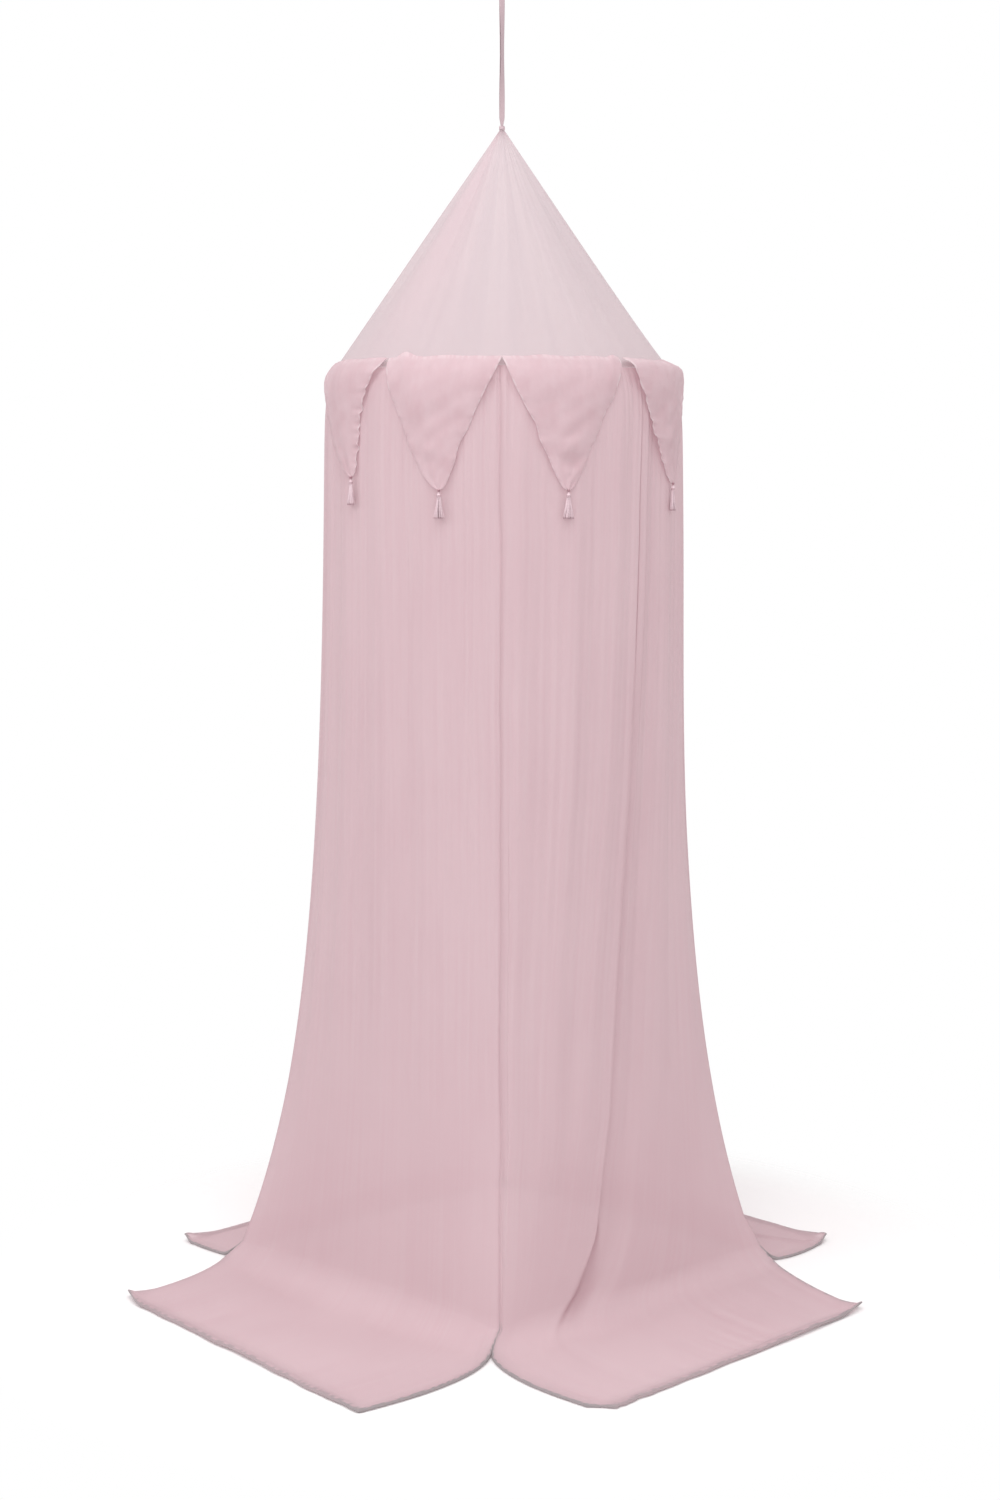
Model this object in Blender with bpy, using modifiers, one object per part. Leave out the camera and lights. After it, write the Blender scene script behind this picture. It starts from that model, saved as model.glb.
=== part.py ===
"""Hanging bed canopy net with its hoop.

A doubled ribbon carries a sheer cone, gathered at its apex. The cone's hem holds a
hoop. Four body panels hang from the hoop seam, flare towards the floor and lie out
on it as four petals. Eight pennants with tassels hang outside the seam.

Metres, +Z up. The origin is the inner top of the ribbon's loop, where a ceiling hook
carries it. Heights in the tables are measured up from the floor. Bearings are degrees
anticlockwise from +X, seen from above, and the front opening faces -Y.
"""
import math
from collections import namedtuple

import bmesh
import bpy

# ---- driving sizes ----
CLOTH = 0.0015                # thickness of every cloth solid
GAP = 0.0003                  # space between touching pieces
LOOP_HEIGHT = 2.265           # inner top of the ribbon's loop above the floor
HOOP_HEIGHT = 1.600           # hoop's centre above the floor
HOOP_RADIUS = 0.282           # to the middle of the hoop's rod
ROD_RADIUS = 0.005            # the hoop's rod
HOOP_STEPS = 48               # facets round the hoop and the cone
ROD_STEPS = 6                 # facets round the rod

# cone
NECK_RADIUS = 0.0060          # the gathered apex, at the middle of the cloth
NECK_TOP = 2.014              # top of the gathered apex
NECK_LENGTH = 0.008
SEAM_DROP = 0.006             # the hoop seam lies this far below the hoop's centre
CONE_ROWS = 4                 # rows down the cone's slope
CONE_FOLDS = 12               # soft radial folds from the apex
CONE_FOLD_DEPTH = 0.0022
CONE_UNEVEN = 0.3             # share by which the folds' depth differs round the cone

# body
STAND_RADIUS = 0.305          # the body's radius below the gathers, before it flares
MID_REACH = 0.347             # middle of a panel from the axis, at the floor
FLARE_HEIGHT = 0.42           # the flare fades by a factor e over this height
FLARE_SHARE = 0.90            # part of a corner's reach that the flare gives
EASE_HEIGHT = 0.035           # over this height the cloth swells out below the seam
BULGE_HEIGHTS = (0.75, 1.35)  # a corner's bulge grows between these heights
EDGE_MARGIN = 0.0012          # a panel's hem stops this far short of its corner
FOLDS = 6                     # soft folds across each panel
STEPS_PER_FOLD = 6
FOLD_DEPTH = 0.0050           # half of a soft fold's height, at the deepest
FOLD_START = 0.060            # below the seam a fold deepens over this height
FOLD_FOOT = (0.10, 0.42)      # the folds fade out between these heights
PANEL_LEVELS = (1.572, 1.515, 1.40, 1.10, 0.78, 0.50, 0.28)
BEND_CORNER = 0.030           # height where a panel's edge starts to turn outwards
BEND_MIDDLE = 0.050           # the same at the middle of a panel
BEND_END = (0.14, 0.30)       # share of a petal that the bend takes: at its edge, middle
BEND_ROWS = 3
PETAL_ROWS = 2
PETAL_WIDTH = 0.70            # usual width of a petal
CURL_WIDTH = 0.2              # share of a petal's width that curls up at its corner
CORNER_ROUND = 0.035          # rounding of a petal's hem corners, as a share of it
CORNER_WIDTH = 0.10           # share of the hem's width that is rounded

# main pleat, on one panel
PLEAT_PLACE = 0.50            # between the panel's two edges, along the cloth
PLEAT_WIDTH = 0.055
PLEAT_BACK = 3.0              # its far side comes back out over this many widths
PLEAT_DEPTH = 0.009
PLEAT_FOOT = 0.12             # the pleat fades out below this height
PLEAT_LEAN = (0.05, -0.15)    # it moves along the panel from the hoop to the floor

# pennants
PENNANT_RISE_SHARE = 0.08     # share of its drop over which it moves out
PENNANT_TIP_OUT = 0.0052      # its tip stands out by this
PENNANT_PUFF = 0.0035
PENNANT_BLUNT = 0.13          # share of its width that ends in the round tip
PENNANT_TIP_SHARE = 0.030     # width left at the tip
PENNANT_STEPS = 7
PENNANT_LEVELS = (0.0, 0.06, 0.16, 0.34, 0.56, 0.79, 0.93, 1.0)
PENNANT_MARGIN = 0.15         # degrees kept free at each side

# tassels
TASSEL_OUT = 0.0008           # outside the pennant's tip
SKIRT_TOP = 0.0120            # below the knot's top
SKIRT_END = 0.0480
SKIRT_FLAT = 0.45             # at its foot the skirt is this much flatter than it is wide
STRAND_STEPS = 3              # sides of a strand
HEAD_STEPS = 8

# hanging ribbon
RIBBON_WIDTH = 0.0090
RIBBON_THICKNESS = 0.0012
LEG_OFFSET = 0.0012           # middle of each leg from the ribbon's axis
LOOP_RADIUS = 0.0072          # middle of the ribbon in the loop's round top
LOOP_SHUT = 0.040             # below the loop's top the legs lie together
LOOP_STEPS = 8
LEG_STEPS = 16

Corner = namedtuple("Corner", "bearing drift bulge reach foot_x foot_y")
Edge = namedtuple("Edge", "bend_x bend_y hem_x hem_y lift")
Panel = namedtuple("Panel", "start finish first last sway leans")
Pennant = namedtuple("Pennant", "start finish tip drop rise first_side last_side")
Ring = namedtuple("Ring", "strands root_radius end_radius root_size end_size turn")

# the four corners of the body: the degrees each drifts down to the floor, how far it
# bulges above, its reach at the floor, and its foot there
CORNERS = {
    "front": Corner(-90.0, -0.5, 0.000, 0.482, -0.018, -0.480),
    "right": Corner(0.0, -1.8, 0.008, 0.487, 0.489, -0.021),
    "back": Corner(90.0, -0.3, 0.000, 0.450, 0.002, 0.450),
    "left": Corner(180.0, -0.4, 0.000, 0.505, -0.502, 0.006),
}

# each panel's two edges on the floor: where they bend, the hem corner, its curl upwards
EDGES = {
    "front_right": (Edge(-0.003, -0.610, 0.163, -0.722, 0.0),
                    Edge(0.533, -0.172, 0.612, -0.269, 0.008)),
    "back_right": (Edge(0.548, -0.002, 0.607, 0.112, 0.008),
                   Edge(0.030, 0.510, 0.128, 0.602, 0.0)),
    "back_left": (Edge(-0.020, 0.505, -0.090, 0.585, 0.0),
                  Edge(-0.539, 0.033, -0.592, 0.108, 0.008)),
    "front_left": (Edge(-0.528, -0.098, -0.652, -0.214, 0.010),
                   Edge(-0.025, -0.575, -0.216, -0.732, 0.0)),
}

# the corners each panel hangs between, how its folds grow across it, their uneven
# spacing, and whether the folds lean as the main pleat does
PANELS = {
    "front_right": Panel("front", "right", 0.7, 1.1, 0.030, True),
    "back_right": Panel("right", "back", 1.0, 0.8, -0.035, False),
    "back_left": Panel("back", "left", 0.9, 1.1, 0.040, False),
    "front_left": Panel("left", "front", 1.1, 0.6, -0.030, False),
}

# bearings of each pennant's ends and tip, how far its tip hangs below the hoop, how far
# it stands outside the seam over the gathers, and its two sides: hollow above 1, full below
PENNANTS = (
    Pennant(-90.0, -48.0, -70.0, 0.207, 0.023, 1.25, 1.20),
    Pennant(-46.5, -1.0, -25.5, 0.196, 0.030, 1.20, 1.00),
    Pennant(-1.0, 44.5, 22.5, 0.202, 0.030, 1.00, 1.20),
    Pennant(44.5, 89.5, 66.5, 0.206, 0.023, 1.20, 0.95),
    Pennant(89.5, 134.5, 112.5, 0.199, 0.023, 1.00, 1.30),
    Pennant(134.5, 180.0, 157.0, 0.204, 0.023, 1.30, 1.05),
    Pennant(180.0, 229.0, 216.3, 0.186, 0.023, 1.00, 3.50),
    Pennant(230.0, 270.0, 251.0, 0.207, 0.023, 0.85, 1.45),
)

# rings of yarn in a tassel's skirt
SKIRT = (
    Ring(14, 0.0026, 0.0092, 0.00046, 0.00090, 0.0),
    Ring(6, 0.0012, 0.0050, 0.00040, 0.00085, 15.0),
)

# a tassel's knot and wrapped head: radius, and depth below the top
HEAD_PROFILE = (
    (0.0, 0.0), (0.0018, 0.0005), (0.0026, 0.0024), (0.0018, 0.0046), (0.0012, 0.0058),
    (0.0024, 0.0068), (0.0035, 0.0090), (0.0035, 0.0114), (0.0031, 0.0126),
    (0.0034, 0.0140), (0.0, 0.0142),
)

# how far the ribbon is twisted at a height, in degrees
RIBBON_TWIST = (
    (2.004, 0.0), (2.035, 5.0), (2.065, 30.0), (2.100, 68.0), (2.130, 92.0),
    (2.170, 118.0), (2.205, 146.0), (2.235, 174.0), (2.265, 180.0),
)


# ---- scene and materials ----
def clear_scene():
    """Remove every object of the scene."""
    for item in list(bpy.data.objects):
        bpy.data.objects.remove(item, do_unlink=True)


def new_collection(name):
    """Add a collection to the scene."""
    collection = bpy.data.collections.new(name)
    bpy.context.scene.collection.children.link(collection)
    return collection


def linear(hex_colour):
    """Turn an sRGB hex colour into the linear values a shader takes."""
    channels = [int(hex_colour[i:i + 2], 16) / 255 for i in (1, 3, 5)]
    return [c / 12.92 if c <= 0.04045 else ((c + 0.055) / 1.055) ** 2.4 for c in channels]


def new_material(name, hex_colour, roughness):
    """Make a Principled material of one colour."""
    material = bpy.data.materials.new(name)
    material.use_nodes = True
    shader = material.node_tree.nodes["Principled BSDF"]
    shader.inputs["Base Color"].default_value = (*linear(hex_colour), 1.0)
    shader.inputs["Roughness"].default_value = roughness
    shader.inputs["Metallic"].default_value = 0.0
    return material


# ---- small mathematics ----
def mix(a, b, share):
    """Go from a to b by a share."""
    return a + (b - a) * share


def smooth(low, high, value):
    """Rise softly from 0 at low to 1 at high."""
    share = min(max((value - low) / (high - low), 0.0), 1.0)
    return share * share * (3 - 2 * share)


def curve_point(first, control, last, share):
    """Point on the bend from first to last that control pulls on."""
    pairs = zip(first, control, last)
    return tuple(mix(mix(a, b, share), mix(b, c, share), share) for a, b, c in pairs)


def table_value(table, place):
    """Read a table of (place, value) rows, in a straight line between two rows."""
    for (low, value), (high, next_value) in zip(table, table[1:]):
        if place <= high:
            return mix(value, next_value, min(max((place - low) / (high - low), 0.0), 1.0))
    return table[-1][1]


def polar(bearing, radius, height):
    """World point at a bearing and radius, with its height measured from the floor."""
    angle = math.radians(bearing)
    return (radius * math.cos(angle), radius * math.sin(angle), height - LOOP_HEIGHT)


# ---- shared builders ----
def cloth(name, columns, rows, place, material, collection, closed=False, thickness=CLOTH):
    """Make a sheet from a grid, shaped by place(across, down), and thicken it."""
    bpy.ops.mesh.primitive_grid_add(x_subdivisions=columns, y_subdivisions=rows, size=1)
    sheet = bpy.context.object
    sheet.name = name
    sheet.data.name = name
    for vertex in sheet.data.vertices:
        across = round((vertex.co.x + 0.5) * columns) / columns
        down = round((0.5 - vertex.co.y) * rows) / rows
        vertex.co = place(across, down)
    if closed:
        shell = bmesh.new()
        shell.from_mesh(sheet.data)
        bmesh.ops.remove_doubles(shell, verts=shell.verts, dist=1e-6)
        shell.to_mesh(sheet.data)
        shell.free()
    sheet.data.shade_smooth()
    sheet.data.materials.append(material)
    solid = sheet.modifiers.new("thickness", "SOLIDIFY")
    solid.thickness = thickness
    solid.offset = 0.0
    solid.use_even_offset = True
    file_in(sheet, collection)
    return sheet


def file_in(item, collection):
    """Move an object into a collection."""
    for owner in list(item.users_collection):
        owner.objects.unlink(item)
    collection.objects.link(item)


# ---- hoop and cone ----
def seam_radius():
    """Radius of the middle of the cloth that wraps the hoop."""
    return HOOP_RADIUS + ROD_RADIUS + GAP + CLOTH / 2


def add_hoop(material, collection):
    """Add the round rod that holds the cloth open."""
    bpy.ops.mesh.primitive_torus_add(
        major_radius=HOOP_RADIUS, minor_radius=ROD_RADIUS,
        major_segments=HOOP_STEPS, minor_segments=ROD_STEPS,
        location=(0, 0, HOOP_HEIGHT - LOOP_HEIGHT))
    hoop = bpy.context.object
    hoop.name = "hoop"
    hoop.data.name = "hoop"
    hoop.data.shade_smooth()
    hoop.data.materials.append(material)
    file_in(hoop, collection)


def cone_profile():
    """List the cone's (radius, height) rows: neck, slope, over the hoop, seam band."""
    wrap = seam_radius() - HOOP_RADIUS
    neck_foot = NECK_TOP - NECK_LENGTH
    lean = math.atan2(neck_foot - HOOP_HEIGHT, HOOP_RADIUS - NECK_RADIUS)
    rows = [(NECK_RADIUS, NECK_TOP), (NECK_RADIUS, neck_foot)]
    touch = (HOOP_RADIUS + wrap * math.sin(lean), HOOP_HEIGHT + wrap * math.cos(lean))
    for step in range(1, CONE_ROWS + 1):
        share = step / CONE_ROWS
        rows.append((mix(NECK_RADIUS, touch[0], share), mix(neck_foot, touch[1], share)))
    rows.append((seam_radius(), HOOP_HEIGHT))
    rows.append((seam_radius(), HOOP_HEIGHT - SEAM_DROP))
    return rows


def add_cone(material, collection):
    """Add the gathered cone, whose lower hem wraps the hoop."""
    rows = cone_profile()
    last = len(rows) - 1

    def place(across, down):
        row = round(down * last)
        radius, height = rows[row]
        slope = (row - 1) / CONE_ROWS
        rise = math.sin(math.pi * min(max(slope, 0.0), 1.0))
        uneven = 1 - CONE_UNEVEN * (1 - math.sin(math.tau * 2 * across + 1.0))
        fold = math.sin(math.tau * CONE_FOLDS * across) * uneven
        swell = CONE_FOLD_DEPTH * rise * fold
        return polar(360 * across, radius + swell, height + swell / 2)

    cloth("cone", HOOP_STEPS, last, place, material, collection, closed=True)


# ---- body panels ----
def stand_radius(corner, height):
    """Radius of the body at a corner, where its cloth swells out below the seam."""
    seam = HOOP_HEIGHT - SEAM_DROP
    ease = math.exp(-(seam - height) / EASE_HEIGHT)
    full = STAND_RADIUS + corner.bulge * smooth(*BULGE_HEIGHTS, height)
    return mix(full, seam_radius(), ease)


def flare_share(height):
    """Share of the flare at a height: all of it at the floor, none at the hoop."""
    rest = math.exp(-HOOP_HEIGHT / FLARE_HEIGHT)
    return math.exp(-height / FLARE_HEIGHT) - rest * height / HOOP_HEIGHT


def fold_depth(height):
    """Half-height of a soft fold at a height."""
    below = HOOP_HEIGHT - SEAM_DROP - height
    deepen = 1 - math.exp(-max(below, 0.0) / FOLD_START)
    hang = math.sqrt(max(height, 0.0) / HOOP_HEIGHT)
    return FOLD_DEPTH * deepen * hang * smooth(*FOLD_FOOT, height)


def place_across(panel, along, height):
    """Place along the panel's span of a point of its cloth, from 0 to 1."""
    place = along + panel.sway * math.sin(math.tau * along)
    if panel.leans:
        top, foot = PLEAT_LEAN
        lean = mix(foot, top, min(height / HOOP_HEIGHT, 1.0))
        place += 4 * along * (1 - along) * lean
    return place


def standing_point(panel, along, height):
    """Point of a panel where it stands, with its folds, as (x, y, z)."""
    start, finish = CORNERS[panel.start], CORNERS[panel.finish]
    flare = flare_share(height)
    corners = (start, finish)
    radii = [stand_radius(corner, height) for corner in corners]
    spread = [(corner.reach - STAND_RADIUS) * FLARE_SHARE * flare for corner in corners]
    reach = [radius + out for radius, out in zip(radii, spread)]
    radius = sum(radii) / 2
    middle = radius + (MID_REACH - STAND_RADIUS) * flare
    power = 1 / (0.5 - math.log2(middle / (sum(reach) / 2)))
    share = place_across(panel, along, height)
    margin = EDGE_MARGIN / (math.pi / 2 * radius)
    share = mix(margin, 1 - margin, share)
    straight = math.atan2(share, 1 - share)
    turn = mix(straight, share * math.pi / 2, power - 1)
    cosine = max(math.cos(turn), 0.0) / reach[0]
    sine = max(math.sin(turn), 0.0) / reach[1]
    section = (cosine ** power + sine ** power) ** (-1 / power)
    section += fold_depth(height) * fold_wave(panel, along)
    if panel.leans:
        section -= PLEAT_DEPTH * pleat_step(along) * smooth(0.0, PLEAT_FOOT, height)
    first, last = edge_bearings(panel, height)
    bearing = first + (last - first) * turn / (math.pi / 2)
    return polar(bearing, section, height + CLOTH / 2)


def edge_bearings(panel, height):
    """Bearings of a panel's two corners, which drift a little towards the floor."""
    bearings = []
    for corner in (CORNERS[panel.start], CORNERS[panel.finish]):
        bearings.append(corner.bearing + corner.drift * flare_share(height))
    if bearings[1] < bearings[0]:
        bearings[1] += 360
    return bearings


def fold_wave(panel, along):
    """Height of the soft folds along the cloth, between -1 and 1."""
    return mix(panel.first, panel.last, along) * math.sin(math.tau * FOLDS * along)


def pleat_step(along):
    """Depth of the main pleat: a steep side, then a slow way back out."""
    beyond = (along - PLEAT_PLACE) / PLEAT_WIDTH
    return smooth(-0.5, 0.5, beyond) * (1 - smooth(0.5, PLEAT_BACK, beyond))


def lying_point(name, along, share):
    """Point of a panel's petal on the floor, from its foot (0) to its hem (1)."""
    panel = PANELS[name]
    points = []
    for corner, edge in zip((panel.start, panel.finish), EDGES[name]):
        foot = (CORNERS[corner].foot_x, CORNERS[corner].foot_y)
        bend = (edge.bend_x, edge.bend_y)
        points.append(curve_point(foot, bend, (edge.hem_x, edge.hem_y), share))
    across = place_across(panel, along, 0.0)
    margin = EDGE_MARGIN / PETAL_WIDTH
    across = mix(margin, 1 - margin, across)
    x, y = (mix(a, b, across) for a, b in zip(*points))
    curl = 0.0
    for edge, inward in zip(EDGES[name], (across, 1 - across)):
        curl += edge.lift * max(1 - inward / CURL_WIDTH, 0.0) ** 2
    return (x, y, curl * share ** 3 + CLOTH / 2 - LOOP_HEIGHT)


def hem_share(along, share):
    """Pull the hem's corners in, so that a petal's corners are round."""
    near = min(along, 1 - along) / CORNER_WIDTH
    return share * (1 - CORNER_ROUND * max(1 - near, 0.0) ** 2)


def panel_place(name):
    """Return the function that shapes one panel from its seam to its hem."""
    panel = PANELS[name]
    seam = HOOP_HEIGHT - SEAM_DROP - GAP
    stand_rows = len(PANEL_LEVELS) + 1
    rows = stand_rows + BEND_ROWS + PETAL_ROWS

    def place(across, down):
        row = round(down * rows)
        crown = math.sin(math.pi * across)
        bend = mix(BEND_CORNER, BEND_MIDDLE, crown)
        turned = mix(*BEND_END, crown)
        if row <= stand_rows:
            heights = (seam,) + PANEL_LEVELS + (bend,)
            x, y, z = standing_point(panel, across, heights[row])
            return (x, y, z - CLOTH / 2 if row == 0 else z)
        if row <= stand_rows + BEND_ROWS:
            first = standing_point(panel, across, bend)
            control = lying_point(name, across, 0.0)
            last = lying_point(name, across, turned)
            return curve_point(first, control, last, (row - stand_rows) / BEND_ROWS)
        share = (row - stand_rows - BEND_ROWS) / PETAL_ROWS
        return lying_point(name, across, hem_share(across, mix(turned, 1.0, share)))

    return place, rows


def add_panels(material, collection):
    """Add the four body panels."""
    for name in PANELS:
        place, rows = panel_place(name)
        cloth("panel_" + name, FOLDS * STEPS_PER_FOLD, rows, place, material, collection)


# ---- pennants ----
def pennant_touch(row):
    """Radius of a pennant's top corners: the flats between them touch the seam band."""
    half = (row.finish - row.start) / 2 - PENNANT_MARGIN
    return (seam_radius() + CLOTH + GAP) / math.cos(math.radians(half / PENNANT_STEPS))


def pennant_width(side, down):
    """Share of a side's width that is left at a share of the drop, with a round tip."""
    straight = (1 - PENNANT_BLUNT) * (1 - down) ** side
    return mix(straight + PENNANT_BLUNT * math.sqrt(1 - down ** 8), 1.0, PENNANT_TIP_SHARE)


def add_pennants(material, collection):
    """Add the pennants, each a blunt triangle that hangs outside the gathers."""
    rows = len(PENNANT_LEVELS) - 1
    for number, row in enumerate(PENNANTS, start=1):

        def place(across, step):
            down = PENNANT_LEVELS[round(step * rows)]
            before = row.tip - row.start - PENNANT_MARGIN
            after = row.finish - row.tip - PENNANT_MARGIN
            first = row.tip - before * pennant_width(row.first_side, down)
            last = row.tip + after * pennant_width(row.last_side, down)
            out = row.rise * (1 - math.exp(-down / PENNANT_RISE_SHARE))
            out += PENNANT_TIP_OUT * down ** 6
            out += PENNANT_PUFF * math.sin(math.pi * across) * math.sin(math.pi * down)
            height = HOOP_HEIGHT - row.drop * down
            return polar(mix(first, last, across), pennant_touch(row) + out, height)

        cloth("pennant_%d" % number, PENNANT_STEPS, rows, place, material, collection)


# ---- tassels ----
def tassel_head():
    """Turn the tassel's knot and wrapped head."""
    profile = bpy.data.meshes.new("tassel_head")
    points = [(radius, 0.0, -depth) for radius, depth in HEAD_PROFILE]
    profile.from_pydata(points, [(i, i + 1) for i in range(len(points) - 1)], [])
    head = bpy.data.objects.new("tassel_head", profile)
    bpy.context.scene.collection.objects.link(head)
    screw = head.modifiers.new("turn", "SCREW")
    screw.steps = HEAD_STEPS
    screw.render_steps = HEAD_STEPS
    screw.use_merge_vertices = True
    screw.merge_threshold = 1e-5
    return head


def tassel_skirt(cutters):
    """Make the strands of yarn, each a thin tapered prism that starts in the head."""
    skirt = bmesh.new()
    for ring in SKIRT:
        for number in range(ring.strands):
            angle = math.tau * number / ring.strands + math.radians(ring.turn)
            prism = bmesh.ops.create_cone(
                skirt, cap_ends=True, segments=STRAND_STEPS,
                radius1=ring.end_size, radius2=ring.root_size, depth=1.0)
            for vertex in prism["verts"]:
                share = 0.5 - vertex.co.z
                radius = mix(ring.root_radius, ring.end_radius, share)
                vertex.co.x += radius * math.cos(angle) * mix(1.0, SKIRT_FLAT, share)
                vertex.co.y += radius * math.sin(angle)
                vertex.co.z = -mix(SKIRT_TOP, SKIRT_END, share)
    mesh = bpy.data.meshes.new("tassel_skirt")
    skirt.to_mesh(mesh)
    skirt.free()
    strands = bpy.data.objects.new("tassel_skirt", mesh)
    strands.hide_render = True
    strands.display_type = "WIRE"
    cutters.objects.link(strands)
    return strands


def add_tassels(material, collection, cutters):
    """Fuse the skirt's roots into the head, and hang one tassel at each pennant's tip."""
    head = tassel_head()
    union = head.modifiers.new("skirt", "BOOLEAN")
    union.operation = "UNION"
    union.solver = "EXACT"
    union.object = tassel_skirt(cutters)
    bpy.context.view_layer.update()
    shape = head.evaluated_get(bpy.context.evaluated_depsgraph_get())
    mesh = bpy.data.meshes.new_from_object(shape)
    mesh.name = "tassel"
    mesh.materials.clear()
    mesh.materials.append(material)
    bpy.data.objects.remove(head, do_unlink=True)
    for number, row in enumerate(PENNANTS, start=1):
        tassel = bpy.data.objects.new("tassel_%d" % number, mesh)
        top = HOOP_HEIGHT - row.drop - GAP
        radius = pennant_touch(row) + row.rise + PENNANT_TIP_OUT + TASSEL_OUT
        tassel.location = polar(row.tip, radius, top)
        tassel.rotation_euler = (0.0, 0.0, math.radians(row.tip))
        collection.objects.link(tassel)


# ---- hanging ribbon ----
def ribbon_route():
    """List the ribbon's (offset, height) points: up one leg, over the loop, down."""
    foot = NECK_TOP - NECK_LENGTH - 0.002
    centre = LOOP_HEIGHT + RIBBON_THICKNESS / 2 - LOOP_RADIUS
    shut = LOOP_HEIGHT - LOOP_SHUT
    leg = []
    for step in range(LEG_STEPS + 1):
        height = mix(foot, centre, step / LEG_STEPS)
        open_share = smooth(shut, centre, height)
        leg.append((mix(LEG_OFFSET, LOOP_RADIUS, open_share), height))
    top = []
    for step in range(1, LOOP_STEPS):
        angle = math.pi * step / LOOP_STEPS
        top.append((LOOP_RADIUS * math.cos(angle), centre + LOOP_RADIUS * math.sin(angle)))
    return leg + top + [(-offset, height) for offset, height in reversed(leg)]


def add_ribbon(material, collection):
    """Add the doubled ribbon with the loop that hangs on the ceiling hook."""
    route = ribbon_route()

    def place(across, down):
        offset, height = route[round(down * (len(route) - 1))]
        twist = math.radians(table_value(RIBBON_TWIST, height))
        side = (across - 0.5) * RIBBON_WIDTH
        x = side * math.cos(twist) - offset * math.sin(twist)
        y = side * math.sin(twist) + offset * math.cos(twist)
        return (x, y, height - LOOP_HEIGHT)

    cloth("hanging_ribbon", 1, len(route) - 1, place, material, collection,
          thickness=RIBBON_THICKNESS)


def main():
    """Build the canopy."""
    clear_scene()
    canopy = new_collection("bed canopy net with hoop")
    cutters = new_collection("cutters")
    voile = new_material("voile", "#dbbcc2", 0.9)
    sheer = new_material("sheer_voile", "#e2cdd2", 0.9)
    trim = new_material("pennant_voile", "#debec4", 0.9)
    yarn = new_material("tassel_yarn", "#d9b5bd", 0.85)
    tape = new_material("ribbon", "#dcb9c0", 0.7)
    rod = new_material("hoop_rod", "#f0eeec", 0.45)
    add_hoop(rod, canopy)
    add_cone(sheer, canopy)
    add_panels(voile, canopy)
    add_pennants(trim, canopy)
    add_tassels(yarn, canopy, cutters)
    add_ribbon(tape, canopy)


main()
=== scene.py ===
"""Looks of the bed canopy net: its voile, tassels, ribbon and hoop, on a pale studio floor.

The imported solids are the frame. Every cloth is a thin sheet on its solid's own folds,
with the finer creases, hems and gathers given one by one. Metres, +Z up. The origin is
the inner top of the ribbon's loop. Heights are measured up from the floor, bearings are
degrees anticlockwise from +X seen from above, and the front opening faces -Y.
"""

import logging
import math
from dataclasses import dataclass
from enum import Enum

import bmesh
import bpy
import numpy as np
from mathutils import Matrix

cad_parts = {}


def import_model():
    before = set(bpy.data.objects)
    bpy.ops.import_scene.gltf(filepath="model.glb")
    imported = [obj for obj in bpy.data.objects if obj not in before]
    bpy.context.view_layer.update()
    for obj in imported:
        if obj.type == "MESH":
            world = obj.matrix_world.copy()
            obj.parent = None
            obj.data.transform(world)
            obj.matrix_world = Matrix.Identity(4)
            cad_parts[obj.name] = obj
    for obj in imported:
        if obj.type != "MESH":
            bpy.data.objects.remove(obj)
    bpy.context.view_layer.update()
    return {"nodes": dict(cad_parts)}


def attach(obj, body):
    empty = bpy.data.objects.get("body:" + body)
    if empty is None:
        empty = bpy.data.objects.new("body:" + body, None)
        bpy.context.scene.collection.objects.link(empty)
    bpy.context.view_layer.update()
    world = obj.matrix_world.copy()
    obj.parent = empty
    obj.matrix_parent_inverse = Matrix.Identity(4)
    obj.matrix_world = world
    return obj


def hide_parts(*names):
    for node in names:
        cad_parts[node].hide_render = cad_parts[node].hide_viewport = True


LOG = logging.getLogger("canopy")
Value = float | np.ndarray
Grid = np.ndarray  # rows x columns x 3 points, or rows x columns x 2 cloth places

FLOOR = -2.265  # z of the floor
GAP = 0.0003  # space between touching pieces, as in the solids
LYING = 0.0008  # height of the middle of cloth that lies on the floor
HEM_BACK = 0.0007  # a turned hem's own edge lies this far under its cloth
ROLL_SHRINK = 0.035  # share of its radius that a rolled hem loses for each radian
WELD = 1e-6  # points closer than this are one


# ---- small mathematics ----
def mix(a: Value, b: Value, share: Value) -> Value:
    """Go from a to b by a share."""
    return a + (b - a) * share


def smooth(low: float, high: float, value: Value) -> np.ndarray:
    """Rise softly from 0 at low to 1 at high."""
    share = np.clip((np.asarray(value, float) - low) / (high - low), 0.0, 1.0)
    return share * share * (3 - 2 * share)


def bump(centre: Value, width: float, value: Value) -> np.ndarray:
    """Soft hill of height 1 at centre, gone a width away."""
    away = np.clip(np.abs(np.asarray(value, float) - centre) / width, 0.0, 1.0)
    return (1 - away * away) ** 2


def waves(value: np.ndarray, pitches: tuple[float, ...], seed: int) -> np.ndarray:
    """Add up waves of the given pitches into an uneven run between about -1 and 1.

    Args:
        value: places along the run.
        pitches: length of each wave, in the units of value.
        seed: fixes the waves' phases and shares.

    Returns:
        The height of the run at each place.
    """
    random = np.random.default_rng(seed)
    total = np.zeros_like(np.asarray(value, float))
    weight = 0.0
    for pitch in pitches:
        share = random.uniform(0.6, 1.0)
        total += share * np.sin(math.tau * (value / pitch + random.uniform()))
        weight += share
    return total / weight


def stacked(*parts: Value) -> Grid:
    """Spread coordinates to one shape and join them into points."""
    return np.stack(np.broadcast_arrays(*parts), axis=-1)


def polar(bearing: Value, radius: Value, height: Value) -> Grid:
    """World points at bearings in degrees and radii, with heights above the floor."""
    angle = np.radians(bearing)
    return stacked(radius * np.cos(angle), radius * np.sin(angle), height + FLOOR)


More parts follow.
